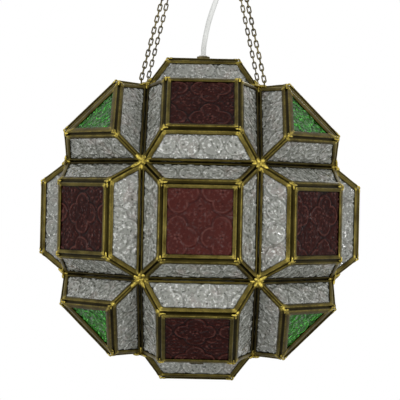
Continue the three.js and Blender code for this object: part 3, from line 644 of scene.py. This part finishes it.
def came_ring(skin, pane, seed):
    """A rounded channel of came round one pane, thicker and bright where its corners are soldered, with
    painted shade in its gaps and groove and a painted highlight along its crown.
    """
    sections = [came_section(*came) for came in pane.came]
    outlines = [pane.inset([place[0] for place in places]) for places in zip(*sections)]
    heights = [place[1] for place in sections[0]]
    rings, painted_light_and_solder = [], []
    count = len(pane.flat)
    valley = next((i for i, came in enumerate(pane.came) if came is VALLEY_CAME), None)
    for i in range(count):
        n = (i + 1) % count
        length = (pane.flat[n] - pane.flat[i]).length
        reach = [3 + 7 * abs(rough(pane.corners[c], 9, seed + c + 2 * i)) for c in (i, n)]
        for t in CAME_STATIONS:
            near = max(smooth(1 - t * length / reach[0]), smooth(1 - (1 - t) * length / reach[1]))
            ring, values = [], []
            for height, outline, painted_light in zip(heights, outlines, CAME_PAINTED_LIGHT):
                flat = outline[i].lerp(outline[n], t)
                point = pane.at(flat.x, flat.y, height)
                if height > -0.6:
                    lift = 0.35 * near * (1 + rough(point, 2.2, seed)) + 0.1 * rough(point, 7, seed)
                    point += pane.normal * lift
                patch = smooth(rough(point, 6, seed + 5) * 4 - 1.9) * 0.3
                ring.append(point)
                share = near * (0.6 + 0.6 * rough(point, 2.5, seed)) + patch
                highlight_and_solder = share if painted_light > SOLDERED_ABOVE else 0
                # Solder share, the section's painted shade and painted highlight, and painted shade along a
                # valley
                values.append(highlight_and_solder + painted_light - (VALLEY_PAINTED_SHADE if valley == i else 0))
            rings.append(ring)
            painted_light_and_solder.append(values)
    skin.loft(rings, painted_light_and_solder, round_trip=True)


def ray(skin, start, way, outward, length, width, seed):
    """A smear of solder from a corner along an edge."""
    way = way.normalized()
    side = way.cross(outward).normalized()
    up = side.cross(way)
    axes = (way * length / 2, side * width / 2, up * width * 0.34)
    ball(skin, start + way * length * 0.42, axes, seed, 1.0)


# Radii and heights of the lumps of solder, and widths of the rays that run out from them
LUMP_R = 1.9
LUMP_HEIGHT = 1.3
RAY_WIDTH = 2.6
STAR_R = 3.7
STAR_HEIGHT = 2.1
STAR_RAY_WIDTH = 4.6


def flat_corner_solder(skin, face, seed):
    """Solder at the corners of a flat pane, run a little along the three edges that meet there."""
    for i, corner in enumerate(face.ridge):
        outward = (face.normal * 2 + (corner - face.middle).normalized()).normalized()
        base = corner - outward * 0.7
        spot = seed + i * 3.1
        side = outward.orthogonal().normalized()
        axes = (outward * LUMP_HEIGHT, side * LUMP_R, outward.cross(side) * LUMP_R)
        ball(skin, base, axes, spot, 0.9)
        for j, other in enumerate((face.ridge[i - 1], face.ridge[(i + 1) % face.sides], face.base[i])):
            length = 4.5 + 7 * abs(rough(corner, 3, spot + j))
            ray(skin, base, other - corner, outward, length, RAY_WIDTH, spot + j)


def star(skin, vertex, meeting, seed):
    """The star of solder where raised faces meet: a lump, and rays along valleys and hips."""
    outward = vertex.normalized()
    side = outward.orthogonal().normalized()
    axes = (side * STAR_R, outward.cross(side) * STAR_R, outward * STAR_HEIGHT)
    ball(skin, vertex + outward * 0.6, axes, seed, 0.9, 0.5)
    ends = []
    for face in meeting:
        i = min(range(face.sides), key=lambda k: (face.vertices[k] - vertex).length)
        ends += [face.base[i - 1], face.base[(i + 1) % face.sides], face.ridge[i]]
    ways = []
    for end in ends:
        way = (end - vertex).normalized()
        if all(way.dot(known) < 0.99 for known in ways):
            ways.append(way)
    for j, way in enumerate(ways):
        length = 7 + 13 * abs(rough(vertex, 5, seed + j * 2.3))
        ray(skin, vertex + outward * 0.7, way, outward, length, STAR_RAY_WIDTH, seed + j)


came = Skin()
solder = Skin()
for number, face in enumerate(faces.values()):
    for k, pane in enumerate([face.flat_pane, *face.sloping]):
        came_ring(came, pane, number * 7.3 + k)
    flat_corner_solder(solder, face, number * 5.9)
for number, vertex in enumerate(body_corners()):
    meeting = [face for face in faces.values() if any((p - vertex).length < 1 for p in face.vertices)]
    star(solder, vertex, meeting, number * 4.7)
came.piece("came_channels", came_brass, "lantern", "brass", ["came_frame"])

# The webs that close the valleys from behind, one for each edge but those round the door
WEB_R = 1.7
WEB_SINK = 2.6
valleys = Skin()
rim = [(a, b) for face in faces.values() for a, b in zip(face.base, face.base[1:] + face.base[:1])]
for a, b in rim:
    if (a + b).z > -2 * SQUARE_REACH + 1 and (a.z, a.x, a.y) < (b.z, b.x, b.y):
        sunk = ((a + b) / 2).normalized() * WEB_SINK
        tube(valleys, [a - sunk, b - sunk], WEB_R, 8)
valleys.piece("valley_webs", valley_shade_brass, "lantern", "brass")
solder.piece("came_solder", came_brass, "lantern", "brass", crease=80)

door_came = Skin()
door_solder = Skin()
for k, pane in enumerate([door_face.flat_pane, *door_face.sloping]):
    came_ring(door_came, pane, 300 + k * 2.9)
flat_corner_solder(door_solder, door_face, 311)
door_came.piece("door_came_channels", came_brass, "door", "brass", ["door_frame"])
door_solder.piece("door_solder", came_brass, "door", "brass", crease=80)


# Glass


def wrapped(value, pitch):
    return (value + pitch / 2) % pitch - pitch / 2


def line(distance, width):
    return math.exp(-((distance / width) ** 2))


def ridge_line(distance, width):
    """A raised line with a groove along its outer side."""
    return 0.6 * line(distance + width * 0.85, width) - 0.5 * line(distance - width * 0.85, width)


def drop(u, v, width):
    """A raised drop with a hollow at its inner end."""
    return 0.65 * line(math.hypot(u, v), width) - 0.6 * line(math.hypot(u + width * 1.2, v), width * 0.8)


def quatrefoils(x, y):
    """A pressed lattice of quatrefoils, with a flower in each and a ring of drops in each gap."""
    pitch = 49
    u, v = abs(wrapped(x, pitch)), abs(wrapped(y, pitch))
    lobes = min(math.hypot(u - 12, v), math.hypot(u, v - 12)) - 11
    height = ridge_line(lobes, 1.15)
    height += drop(u - 5.2, v * 1.5, 1.7) + drop(v - 5.2, u * 1.5, 1.7)
    height += drop(u - 14.5, v, 1.5) + drop(v - 14.5, u, 1.5)
    height -= 0.5 * line(math.hypot(u, v), 1.4)
    a, b = pitch / 2 - u, pitch / 2 - v
    for distance, size in ((11.2, 1.9), (5.6, 1.6)):
        height += drop(a - distance, b, size) + drop(b - distance, a, size)
    height += drop(math.hypot(a, b) - 8.2, a - b, 1.5)
    return height


def ringlets(x, y):
    """Pressed rings side by side, with a dot in each and a small lozenge in each gap."""
    pitch = 26.0
    u, v = wrapped(x, pitch), wrapped(y, pitch)
    r = math.hypot(u, v)
    height = ridge_line(r - 11.2, 1.0) - 0.6 * line(r, 1.2) + 0.3 * line(r - 2.9, 0.9)
    far = abs(wrapped(x + pitch / 2, pitch)) + abs(wrapped(y + pitch / 2, pitch))
    return height + ridge_line(far - 3.4, 0.9)


# How far the glass reaches under the came, and how far and how finely its pattern wanders
GLASS_UNDER_CAME = 1.6
PATTERN_WANDER = 1.3
WANDER_SCALE = 14
WANDER_APART = 40


def glass_sheet(skin, pane, pattern, place_of, cell, seed):
    """A pane: its front pressed with a pattern, its back flat, its edges inside the came."""
    drawn = pane.inset([came[2] - GLASS_UNDER_CAME for came in pane.came])
    a, b, c, d = drawn if len(drawn) == 4 else (*drawn, drawn[2])
    columns = max(2, round(max((b - a).length, (c - d).length) / cell))
    rows = max(2, round(max((d - a).length, (c - b).length) / cell))
    front, back, values = [], [], []
    for i in range(rows + 1):
        left, right = a.lerp(d, i / rows), b.lerp(c, i / rows)
        for j in range(columns + 1):
            flat = left.lerp(right, j / columns)
            place = pane.at(flat.x, flat.y, 0)
            x, y = place_of(pane, flat, place)
            x += PATTERN_WANDER * rough(place, WANDER_SCALE, seed)
            y += PATTERN_WANDER * rough(place, WANDER_SCALE, seed + WANDER_APART)
            press = pattern(x, y)
            # The press attribute: the relief's height, less the painted shadow line beside the came
            values.append(press - 0.8 * pane.shade(flat))
            press += 0.15 * rough(place, 2.6, seed)
            front.append(place - pane.normal * (LIP + FIT + 0.1 - press))
            if i in (0, rows) or j in (0, columns):
                back.append(place - pane.normal * (LIP + FIT + GLASS))
    width = columns + 1
    faces_here = []
    for i in range(rows):
        for j in range(columns):
            corner = i * width + j
            faces_here.append([corner, corner + 1, corner + width + 1, corner + width])
    rim = list(range(width))
    rim += [i * width + columns for i in range(1, rows + 1)]
    rim += [rows * width + j for j in range(columns - 1, -1, -1)]
    rim += [i * width for i in range(rows - 1, 0, -1)]
    edge = {index: len(front) + k for k, index in enumerate(sorted(rim))}
    for p, q in zip(rim, rim[1:] + rim[:1]):
        faces_here.append([p, q, edge[q], edge[p]])
    faces_here.append([edge[i] for i in reversed(rim)])
    skin.add(front + back, faces_here, values + [0.0] * len(back))


def upright(shift):
    """Where a point of a flat pane lies on an upright pattern, shifted from the pane's middle."""

    def place_of(pane, flat, place):
        level = Vector((0, 0, 1)).cross(pane.normal)
        level = level.normalized() if level.length > 0.1 else Vector((1, 0, 0))
        arm = place - pane.middle
        return arm.dot(level) - shift[0], arm.dot(pane.normal.cross(level)) - shift[1]

    return place_of


def along_pane(shift):
    """The same for a pattern that runs along a sloping pane."""
    return lambda pane, flat, place: (flat.x - shift[0], flat.y - shift[1])


def scattered(seed):
    return 11 * math.sin(seed * 5.9), 9 * math.cos(seed * 4.5)


def glass_piece(name, node, panes, material, slot, body, patterns, cell, seed, shift=None):
    skin = Skin()
    for k, pane in enumerate(panes):
        pattern = patterns[k % len(patterns)]
        if len(panes) == 1:
            place_of = upright(shift or scattered(seed))
        else:
            place_of = along_pane((12, 0) if pattern is ringlets else scattered(seed + k * 1.3))
        glass_sheet(skin, pane, pattern, place_of, cell, seed + k)
    skin.piece(name, material, body, slot, [node], crease=50, values="press")


FLAT_CELL = 0.85
SLOPING_CELL = 1.0
FLAT_SHIFTS = {"front": (-24.5, -17), "upper_front": (9, 25), "lower_front": (-2, 12)}
for number, (name, face) in enumerate(faces.items()):
    if name == "top":
        continue
    color = "green" if face.sides == 3 else "red"
    material = green_glass if face.sides == 3 else red_glass if name == "front" else shaded_red_glass
    glass_piece(
        f"{color}_glass_{name}", f"{color}_pane_{name}", [face.flat_pane], material,
        f"{color}_glass", "lantern", [quatrefoils], FLAT_CELL, number * 1.37, FLAT_SHIFTS.get(name),
    )
names = list(RING)
for number, (square, beside) in enumerate(zip(names[::2], names[1::2])):
    for level, z in LEVELS.items():
        panes = faces[level + square].sloping + faces[level + beside].sloping
        glass_piece(
            f"clear_glass_{level}{square}", f"clear_panes_{level}{square}", panes, clear_glass,
            "clear_glass", "lantern", [ringlets, quatrefoils], SLOPING_CELL, 50 + number * 3.1 + z,
        )
glass_piece(
    "clear_glass_top", "clear_panes_top", faces["top"].sloping, clear_glass,
    "clear_glass", "lantern", [quatrefoils], SLOPING_CELL, 71,
)
glass_piece(
    "door_red_glass", "door_red_pane", [door_face.flat_pane], shaded_red_glass,
    "red_glass", "door", [quatrefoils], FLAT_CELL, 77,
)
glass_piece(
    "door_clear_glass", "door_clear_panes", door_face.sloping, clear_glass,
    "clear_glass", "door", [ringlets, quatrefoils], SLOPING_CELL, 83,
)


# Hinge, eyelets, chains and ring


def corner_name(sign_x, sign_y):
    return f"{'front' if sign_y < 0 else 'rear'}_{'left' if sign_x < 0 else 'right'}"


def eyelet_at(sign_x, sign_y):
    """The middle of the eyelet on an upper corner face, on the hip that climbs to its ridge."""
    face = faces[f"upper_{corner_name(sign_x, sign_y)}"]
    outward = Vector((sign_x, sign_y, 0)).normalized()
    corner = max(face.base, key=lambda p: p.z)
    crest = max(face.ridge, key=lambda p: p.z)
    middle = corner.lerp(crest, EYELET_OUT / (crest - corner).dot(outward))
    return middle + Vector((0, 0, EYELET_R + EYELET_WIRE_R - EYELET_SINK))


def loop_path(middle, across, along, half_width, half_length, count=28):
    """The middle line of a link's wire: two straight sides and two round ends."""
    path = []
    straight = half_length - half_width
    for i in range(count):
        angle = math.tau * (i + 0.5) / count
        shift = straight if math.sin(angle) > 0 else -straight
        sideways = across * half_width * math.cos(angle)
        path.append(middle + sideways + along * (half_width * math.sin(angle) + shift))
    return path


def chain(sign_x, sign_y):
    """The links and the end ring of one chain, each turned a quarter from the last."""
    middle = eyelet_at(sign_x, sign_y)
    near, far = CHAIN_ANGLES
    angle = math.radians(far if sign_y < 0 else near) * sign_x
    on_ring = Vector((math.sin(angle), 0, -math.cos(angle))) * RING_R
    on_ring.z += RING_MIDDLE_Z - CENTRE_Z
    arm = on_ring - middle
    held = middle + Vector((0, arm.y, arm.z)).normalized() * EYELET_R
    along = (on_ring - held).normalized()
    low = held - along * (EYELET_WIRE_R + CHAIN_WIRE_R + FIT)
    high = on_ring + along * (RING_WIRE_R + CHAIN_WIRE_R + 3 * FIT)
    bearing = 2 * CHAIN_WIRE_R
    run = (high - low).length - 2 * JUMP_RING_R
    count = 2 * round((run / LINK_PITCH - 1) / 2) + 1
    pitch = run / count
    low_across = (Vector((1, 0, 0)) - along * along.x).normalized()
    high_across = along.cross(Vector((math.cos(angle), 0, math.sin(angle)))).normalized()
    wanted = Matrix.Rotation(count * math.pi / 2, 3, along) @ low_across
    twist = math.atan2(wanted.cross(high_across).dot(along), wanted.dot(high_across))
    twist -= round(twist / math.pi) * math.pi
    skin = Skin()
    for i in range(count + 1):
        across = Matrix.Rotation(i * (math.pi / 2 + twist / count), 3, along) @ low_across
        if i < count:
            place = low + along * ((pitch + bearing) / 2 + i * pitch)
            path = loop_path(place, across, along, LINK_WIDTH / 2 - CHAIN_WIRE_R, (pitch + bearing) / 2, 20)
        else:
            path = loop_path(low + along * (run + JUMP_RING_R), across, along, JUMP_RING_R, JUMP_RING_R)
        tube(skin, path, CHAIN_WIRE_R, 8, closed=True, across=across.cross(along))
    return skin


eyelets = Skin()
for sign_x, sign_y in ((-1, -1), (1, -1), (-1, 1), (1, 1)):
    middle = eyelet_at(sign_x, sign_y)
    loop = loop_path(middle, Vector((0, 1, 0)), Vector((0, 0, 1)), EYELET_R, EYELET_R)
    tube(eyelets, loop, EYELET_WIRE_R, 10, closed=True, across=Vector((1, 0, 0)))
    blob = (Vector((2.4, 0, 0)), Vector((0, 3.0, 0)), Vector((0, 0, 1.3)))
    ball(eyelets, middle - Vector((0, 0, EYELET_R + 0.6)), blob, sign_x + 2 * sign_y, 0.8, 0.4)
    side = corner_name(sign_x, sign_y)
    chain(sign_x, sign_y).piece(f"links_{side}", old_brass, "lantern", "brass", [f"chain_{side}"])
eyelets.piece("eyelets", came_brass, "lantern", "brass")

ring = Skin()
ring_middle = Vector((0, 0, RING_MIDDLE_Z))
ring_path = loop_path(ring_middle, Vector((1, 0, 0)), Vector((0, 0, 1)), RING_R, RING_R, 64)
tube(ring, ring_path, RING_WIRE_R, 14, closed=True, across=Vector((0, 1, 0)))
ring.piece("big_ring", old_brass, "lantern", "brass", ["top_ring"], raised=False)


def knuckle(skin, index):
    """A hinge barrel with rounded ends."""
    middle = hinge_axis + Vector(((index - 1) * (KNUCKLE_LENGTH + FIT), 0, 0))
    half = KNUCKLE_LENGTH / 2
    outline = [(-half, KNUCKLE_BORE_R), (-half, 2.6), (-half + 0.4, KNUCKLE_R)]
    outline += [(-x, radius) for x, radius in reversed(outline)]
    rings = []
    for x, radius in outline:
        ring = []
        for i in range(24):
            turn = math.tau * i / 24
            ring.append(middle + Vector((x, radius * math.cos(turn), radius * math.sin(turn))))
        rings.append(ring)
    skin.loft(rings, round_trip=True)


def leaf(skin, pane, index):
    """The hinge's leaf, soldered over the came of the pane beside the hinge."""
    x = (index - 1) * (KNUCKLE_LENGTH + FIT)
    way = 1 if pane.right.x > 0 else -1
    low = pane.flat[0].y
    half = KNUCKLE_LENGTH / 2
    corners = [
        (-half, 1.2), (half, 1.2), (half, LEAF_REACH - LEAF_CUT), (half - LEAF_CUT, LEAF_REACH),
        (LEAF_CUT - half, LEAF_REACH), (-half, LEAF_REACH - LEAF_CUT),
    ]
    rings = []
    for height, draw in ((-0.4, 0), (LEAF_RISE - 0.3, 0), (LEAF_RISE, 0.3)):
        ring = []
        for px, py in corners:
            ring.append(pane.at(way * x + px * (1 - draw / half), low + py - draw * (py > 4), height))
        rings.append(ring)
    skin.loft(rings, caps=True)


def beside_hinge(face):
    """The pane whose lower edge is nearest to the hinge."""
    return min(face.sloping, key=lambda pane: ((pane.corners[0] + pane.corners[1]) / 2 - hinge_axis).length)


hinge_outer = Skin()
for index in (0, 2):
    knuckle(hinge_outer, index)
    leaf(hinge_outer, beside_hinge(faces["lower_rear"]), index)
hinge_outer.piece("hinge_outer", old_brass, "lantern", "brass")
hinge_inner = Skin()
knuckle(hinge_inner, 1)
leaf(hinge_inner, beside_hinge(door_face), 1)
hinge_inner.piece("hinge_inner", old_brass, "door", "brass")


# Top fitting and lamp


def hex_nut():
    """A nut with its corners turned off, above and below."""
    radius = NUT_FLATS / math.sqrt(3)
    low = PLATE_TOP + FIT
    turns = [math.tau * i / 36 for i in range(36)]
    outline = [(0, NUT_FLATS / 2), (NUT_CHAMFER, radius)]
    outline += [(NUT_HEIGHT - height, limit) for height, limit in reversed(outline)]
    rings = []
    for height, limit in outline:
        ring = []
        for turn in turns:
            flat = NUT_FLATS / 2 / math.cos((turn + math.pi / 6) % (math.pi / 3) - math.pi / 6)
            reach = min(flat, limit + 0.25)
            ring.append(Vector((reach * math.cos(turn), reach * math.sin(turn), low + height)))
        rings.append(ring)
    bore = [(NUT_BORE_R * math.cos(turn), NUT_BORE_R * math.sin(turn)) for turn in turns]
    for height in (NUT_HEIGHT, 0):
        rings.append([Vector((x, y, low + height)) for x, y in bore])
    skin = Skin()
    skin.loft(rings, round_trip=True)
    return skin


def thread(low, high, radius, depth, pitch=1.0):
    """Profile points of a threaded length."""
    points = []
    count = int((high - low) / pitch)
    for i in range(count):
        points += [(radius, low + i * pitch), (radius - depth, low + (i + 0.5) * pitch)]
    return [*points, (radius, high)]


hex_nut().piece("hex_nut", old_brass, "lantern", "brass", ["top_nut"], crease=30)
nipple_foot = HOLDER_SHELF + FIT
nipple = lathe([
    (NIPPLE_BORE_R, nipple_foot),
    *thread(nipple_foot, NIPPLE_TOP, NIPPLE_R, 0.35),
    (NIPPLE_BORE_R, NIPPLE_TOP),
])
nipple.piece("threaded_nipple", old_brass, "lantern", "brass", ["nipple"], crease=30)
flange = NIPPLE_TOP + FIT
bush = lathe([
    (BUSH_BORE_R, flange - 9), (3.9, flange - 9), (3.9, flange), (5.7, flange), (5.75, flange + 0.5),
    (5.3, flange + 1.0), (4.6, flange + BUSH_FLANGE), (BUSH_BORE_R, flange + BUSH_FLANGE),
])
bush.piece("flex_bush", white_plastic, "lantern", "white_plastic", ["cord_bush"])
lampholder = lathe([
    (NIPPLE_R + FIT, HOLDER_TOP), (NIPPLE_R + FIT, HOLDER_SHELF), (NIPPLE_BORE_R, HOLDER_SHELF),
    (NIPPLE_BORE_R, HOLDER_FLOOR), (HOLDER_BORE_R, HOLDER_FLOOR), (HOLDER_BORE_R, HOLDER_MOUTH + 0.5),
    (HOLDER_BORE_R + 0.5, HOLDER_MOUTH), (HOLDER_R - 0.8, HOLDER_MOUTH), (HOLDER_R, HOLDER_MOUTH + 0.8),
    (HOLDER_R, HOLDER_MOUTH + 16), (HOLDER_R - 0.9, HOLDER_MOUTH + 16.8),
    (HOLDER_R - 0.9, HOLDER_MOUTH + 19), (HOLDER_R, HOLDER_MOUTH + 19.8), (HOLDER_R, HOLDER_TOP - 14),
    (HOLDER_R - 0.7, HOLDER_TOP - 10), (HOLDER_R - 3, HOLDER_TOP - 6), (HOLDER_R - 6, HOLDER_TOP - 2),
    (HOLDER_R - 8, HOLDER_TOP),
])
lampholder.piece("lampholder_shell", black_plastic, "lantern", "black_plastic", ["lampholder"], crease=35)
cap_low = BULB_TOP - BULB_CAP_LENGTH
cap_shoulder = BULB_TOP - 5
bulb_cap = lathe([
    (BULB_CAP_R - 1, cap_low), *thread(cap_low, cap_shoulder, BULB_CAP_R, 1.0, 3.0),
    (8.5, BULB_TOP - 1.6), (6, BULB_TOP), (2, BULB_TOP), (2, BULB_TOP - 2),
    (BULB_CAP_R - 2, cap_shoulder - 1),
])
bulb_cap.piece("bulb_screw_cap", zinc, "bulb", "steel", ["bulb_cap"], crease=50)
ON_AXIS = 0.01
ball_middle = BULB_TOP - BULB_LENGTH + BULB_R
bulb_profile = []
for degrees in range(-90, 36, 9):
    turn = math.radians(degrees)
    bulb_profile.append((max(ON_AXIS, BULB_R * math.cos(turn)), ball_middle + BULB_R * math.sin(turn)))
bulb_profile += [
    (19.6, ball_middle + 26), (15.6, BULB_TOP - 41), (13.6, BULB_TOP - 36),
    (12.0, BULB_TOP - 28), (11.9, BULB_TOP - 10),
]
bulb_profile += [
    (max(ON_AXIS, r - BULB_WALL), z + (BULB_WALL if r < 1 else 0)) for r, z in reversed(bulb_profile)
]
lathe(bulb_profile).piece("bulb_envelope", frosted_glass, "bulb", "bulb_glass", ["bulb_glass"], crease=60)


# Ceiling fitting and flex

bend_z = HOOK_BEND_R - HOOK_DROP
hook_points = [
    (0, HOOK_TOP), (0, (HOOK_TOP + COLLAR_TOP) / 2), (0, COLLAR_TOP), (0, COLLAR_FOOT),
]
hook_points += [
    (HOOK_BEND_R * math.cos(math.radians(d)), bend_z + HOOK_BEND_R * math.sin(math.radians(d)))
    for d in (165, 195, 232, 270, 308, 345, 375)
]
hook = Skin()
hook_path = curve_through([Vector((0, y, z)) for y, z in hook_points], 8)
tube(hook, hook_path, HOOK_WIRE_R, 16)
tip, before_tip = hook_path[-1], hook_path[-2]
tip_way = (tip - before_tip).normalized()
tip_side = Vector((HOOK_WIRE_R, 0, 0))
ball(hook, tip, (tip_side, tip_way.cross(tip_side), tip_way * 1.2), 0, 0.0, 0.0, (16, 8))
hook.piece("hook", old_brass, "root", "brass", ["ceiling_hook"], crease=60, raised=False)
collar = lathe([
    (HOOK_WIRE_R, COLLAR_FOOT), (6, COLLAR_FOOT), (6.8, -36.9), (7.6, -35.4), (9.3, -33.6),
    (COLLAR_R, -32.6), (COLLAR_R, -30.7), (COLLAR_R - 0.4, COLLAR_TOP), (HOOK_WIRE_R, COLLAR_TOP),
])
collar.piece("hook_collar", old_brass, "root", "brass", crease=35, raised=False)

outer_curve = [
    (CANOPY_R, FIT), (CANOPY_R, 1.8), (CANOPY_R - 0.7, 2.2), (CANOPY_R - 0.8, 3.4), (CANOPY_R - 0.3, 3.8),
]
for degrees in range(10, 87, 4):
    turn = math.radians(degrees)
    outer_curve.append((CANOPY_R * math.cos(turn), CANOPY_HEIGHT * math.sin(turn)))
outer_curve.append((HOOK_HOLE_R, CANOPY_HEIGHT))
canopy_profile = [(r, -down) for r, down in outer_curve]
canopy_profile += [
    (max(HOOK_HOLE_R, r - CANOPY_WALL), CANOPY_WALL * down / CANOPY_HEIGHT - down)
    for r, down in reversed(outer_curve)
]
canopy = lathe(canopy_profile, 96)
canopy.piece("canopy_dome", old_brass, "root", "brass", ["canopy"], crease=35, raised=False)
grommet_profile = [
    (BUSH_BORE_R, GROMMET_FOOT), (4.2, GROMMET_FOOT), (5.0, -32.9), (5.9, -31.2), (GROMMET_R, -30.4),
    (4.1, COLLAR_TOP), (4.1, GROMMET_TOP), (BUSH_BORE_R, GROMMET_TOP),
]
grommet = lathe(grommet_profile, middle=(GROMMET_X, 0))
grommet.piece("canopy_grommet", white_plastic, "root", "white_plastic", ["canopy_bush"], raised=False)

stretch = (CORD_HEAD - CORD_FOOT) / CORD_ROUTE[-1][2]
flex_path = curve_through([Vector((x, y, CORD_FOOT + rise * stretch)) for x, y, rise in CORD_ROUTE], 6)
flex = Skin()
tube(flex, flex_path, CORD_R, 16)
flex_piece = flex.piece("flex", flex_white, None, "flex", ["cord"], raised=False)
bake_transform(flex_piece)

# The CAD's own nodes that show as they are, with their finish
KEPT_NODES = {"top_plate": old_brass, "door_catch": old_brass, "hinge_pin": old_brass, "ceiling_strap": zinc}
for node, material in KEPT_NODES.items():
    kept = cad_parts[node]
    kept.data.materials.clear()
    kept.data.materials.append(material)
    bevel = kept.modifiers.new("edge", "BEVEL")
    bevel.width = 0.2 * MM
    bevel.segments = 2
    bevel.limit_method = "ANGLE"


# Stage, light and look

# Places and sizes in metres, and how brightly the floor and the world show and light
FLOOR_Z = -5.4
FLOOR_HALF = 6
FLOOR_GLOW = 0.4
WORLD_LIGHT = 0.57

floor_material = bpy.data.materials.new("floor")
floor_material.use_nodes = True
floor_shader = floor_material.node_tree.nodes["Principled BSDF"]
floor_shader.inputs["Base Color"].default_value = (0.86, 0.86, 0.86, 1)
floor_shader.inputs["Roughness"].default_value = 0.9
floor_shader.inputs["Emission Color"].default_value = (1, 1, 1, 1)
seen_floor = floor_material.node_tree.nodes.new("ShaderNodeLightPath")
lift = floor_material.node_tree.nodes.new("ShaderNodeMapRange")
lift.inputs["To Max"].default_value = FLOOR_GLOW
floor_material.node_tree.links.new(seen_floor.outputs["Is Camera Ray"], lift.inputs["Value"])
floor_material.node_tree.links.new(lift.outputs["Result"], floor_shader.inputs["Emission Strength"])

floor_mesh = bpy.data.meshes.new("floor")
floor_corners = [(x * FLOOR_HALF, y * FLOOR_HALF, FLOOR_Z) for x, y in ((-1, -1), (1, -1), (1, 1), (-1, 1))]
floor_mesh.from_pydata(floor_corners, [], [(0, 1, 2, 3)])
floor_mesh.materials.append(floor_material)
floor = bpy.data.objects.new("floor", floor_mesh)
bpy.context.collection.objects.link(floor)

world = bpy.data.worlds.new("studio")
world.use_nodes = True
tree = world.node_tree
background = tree.nodes["Background"]
path = tree.nodes.new("ShaderNodeLightPath")
seen = path.outputs["Is Camera Ray"]
for other in ("Is Glossy Ray", "Is Transmission Ray"):
    either = tree.nodes.new("ShaderNodeMath")
    either.operation = "MAXIMUM"
    tree.links.new(seen, either.inputs[0])
    tree.links.new(path.outputs[other], either.inputs[1])
    seen = either.outputs[0]
level = tree.nodes.new("ShaderNodeMapRange")
level.inputs["To Min"].default_value = WORLD_LIGHT
level.inputs["To Max"].default_value = 1.0
tree.links.new(seen, level.inputs["Value"])
tree.links.new(level.outputs["Result"], background.inputs["Strength"])
background.inputs["Color"].default_value = (1, 1, 1, 1)
bpy.context.scene.world = world


# Each lamp's place in metres, its power in watts and its size in metres
LAMPS = {
    "key": ((-0.45, -2.1, 0.25), 6, 0.3),
    "side": ((0.9, -2.0, 0.3), 4, 0.25),
    "low": ((-0.3, -1.7, -1.2), 4, 0.25),
    "far_left": ((-1.75, -1.45, -0.3), 10, 0.25),
    "far_right": ((1.75, -1.45, -0.7), 12, 0.25),
    "back": ((0.6, 2.0, 0.6), 9, 0.6),
}


def area_light(name, place, power, size):
    """A square lamp that faces the middle of the glass body."""
    data = bpy.data.lights.new(name, "AREA")
    data.energy = power
    data.size = size
    light = bpy.data.objects.new(name, data)
    bpy.context.collection.objects.link(light)
    light.location = place
    heading = Vector((0, 0, CENTRE_Z * MM)) - Vector(place)
    light.rotation_euler = heading.to_track_quat("-Z", "Y").to_euler()


for name, (place, power, size) in LAMPS.items():
    area_light(name, place, power, size)

bpy.context.scene.view_settings.view_transform = "Standard"
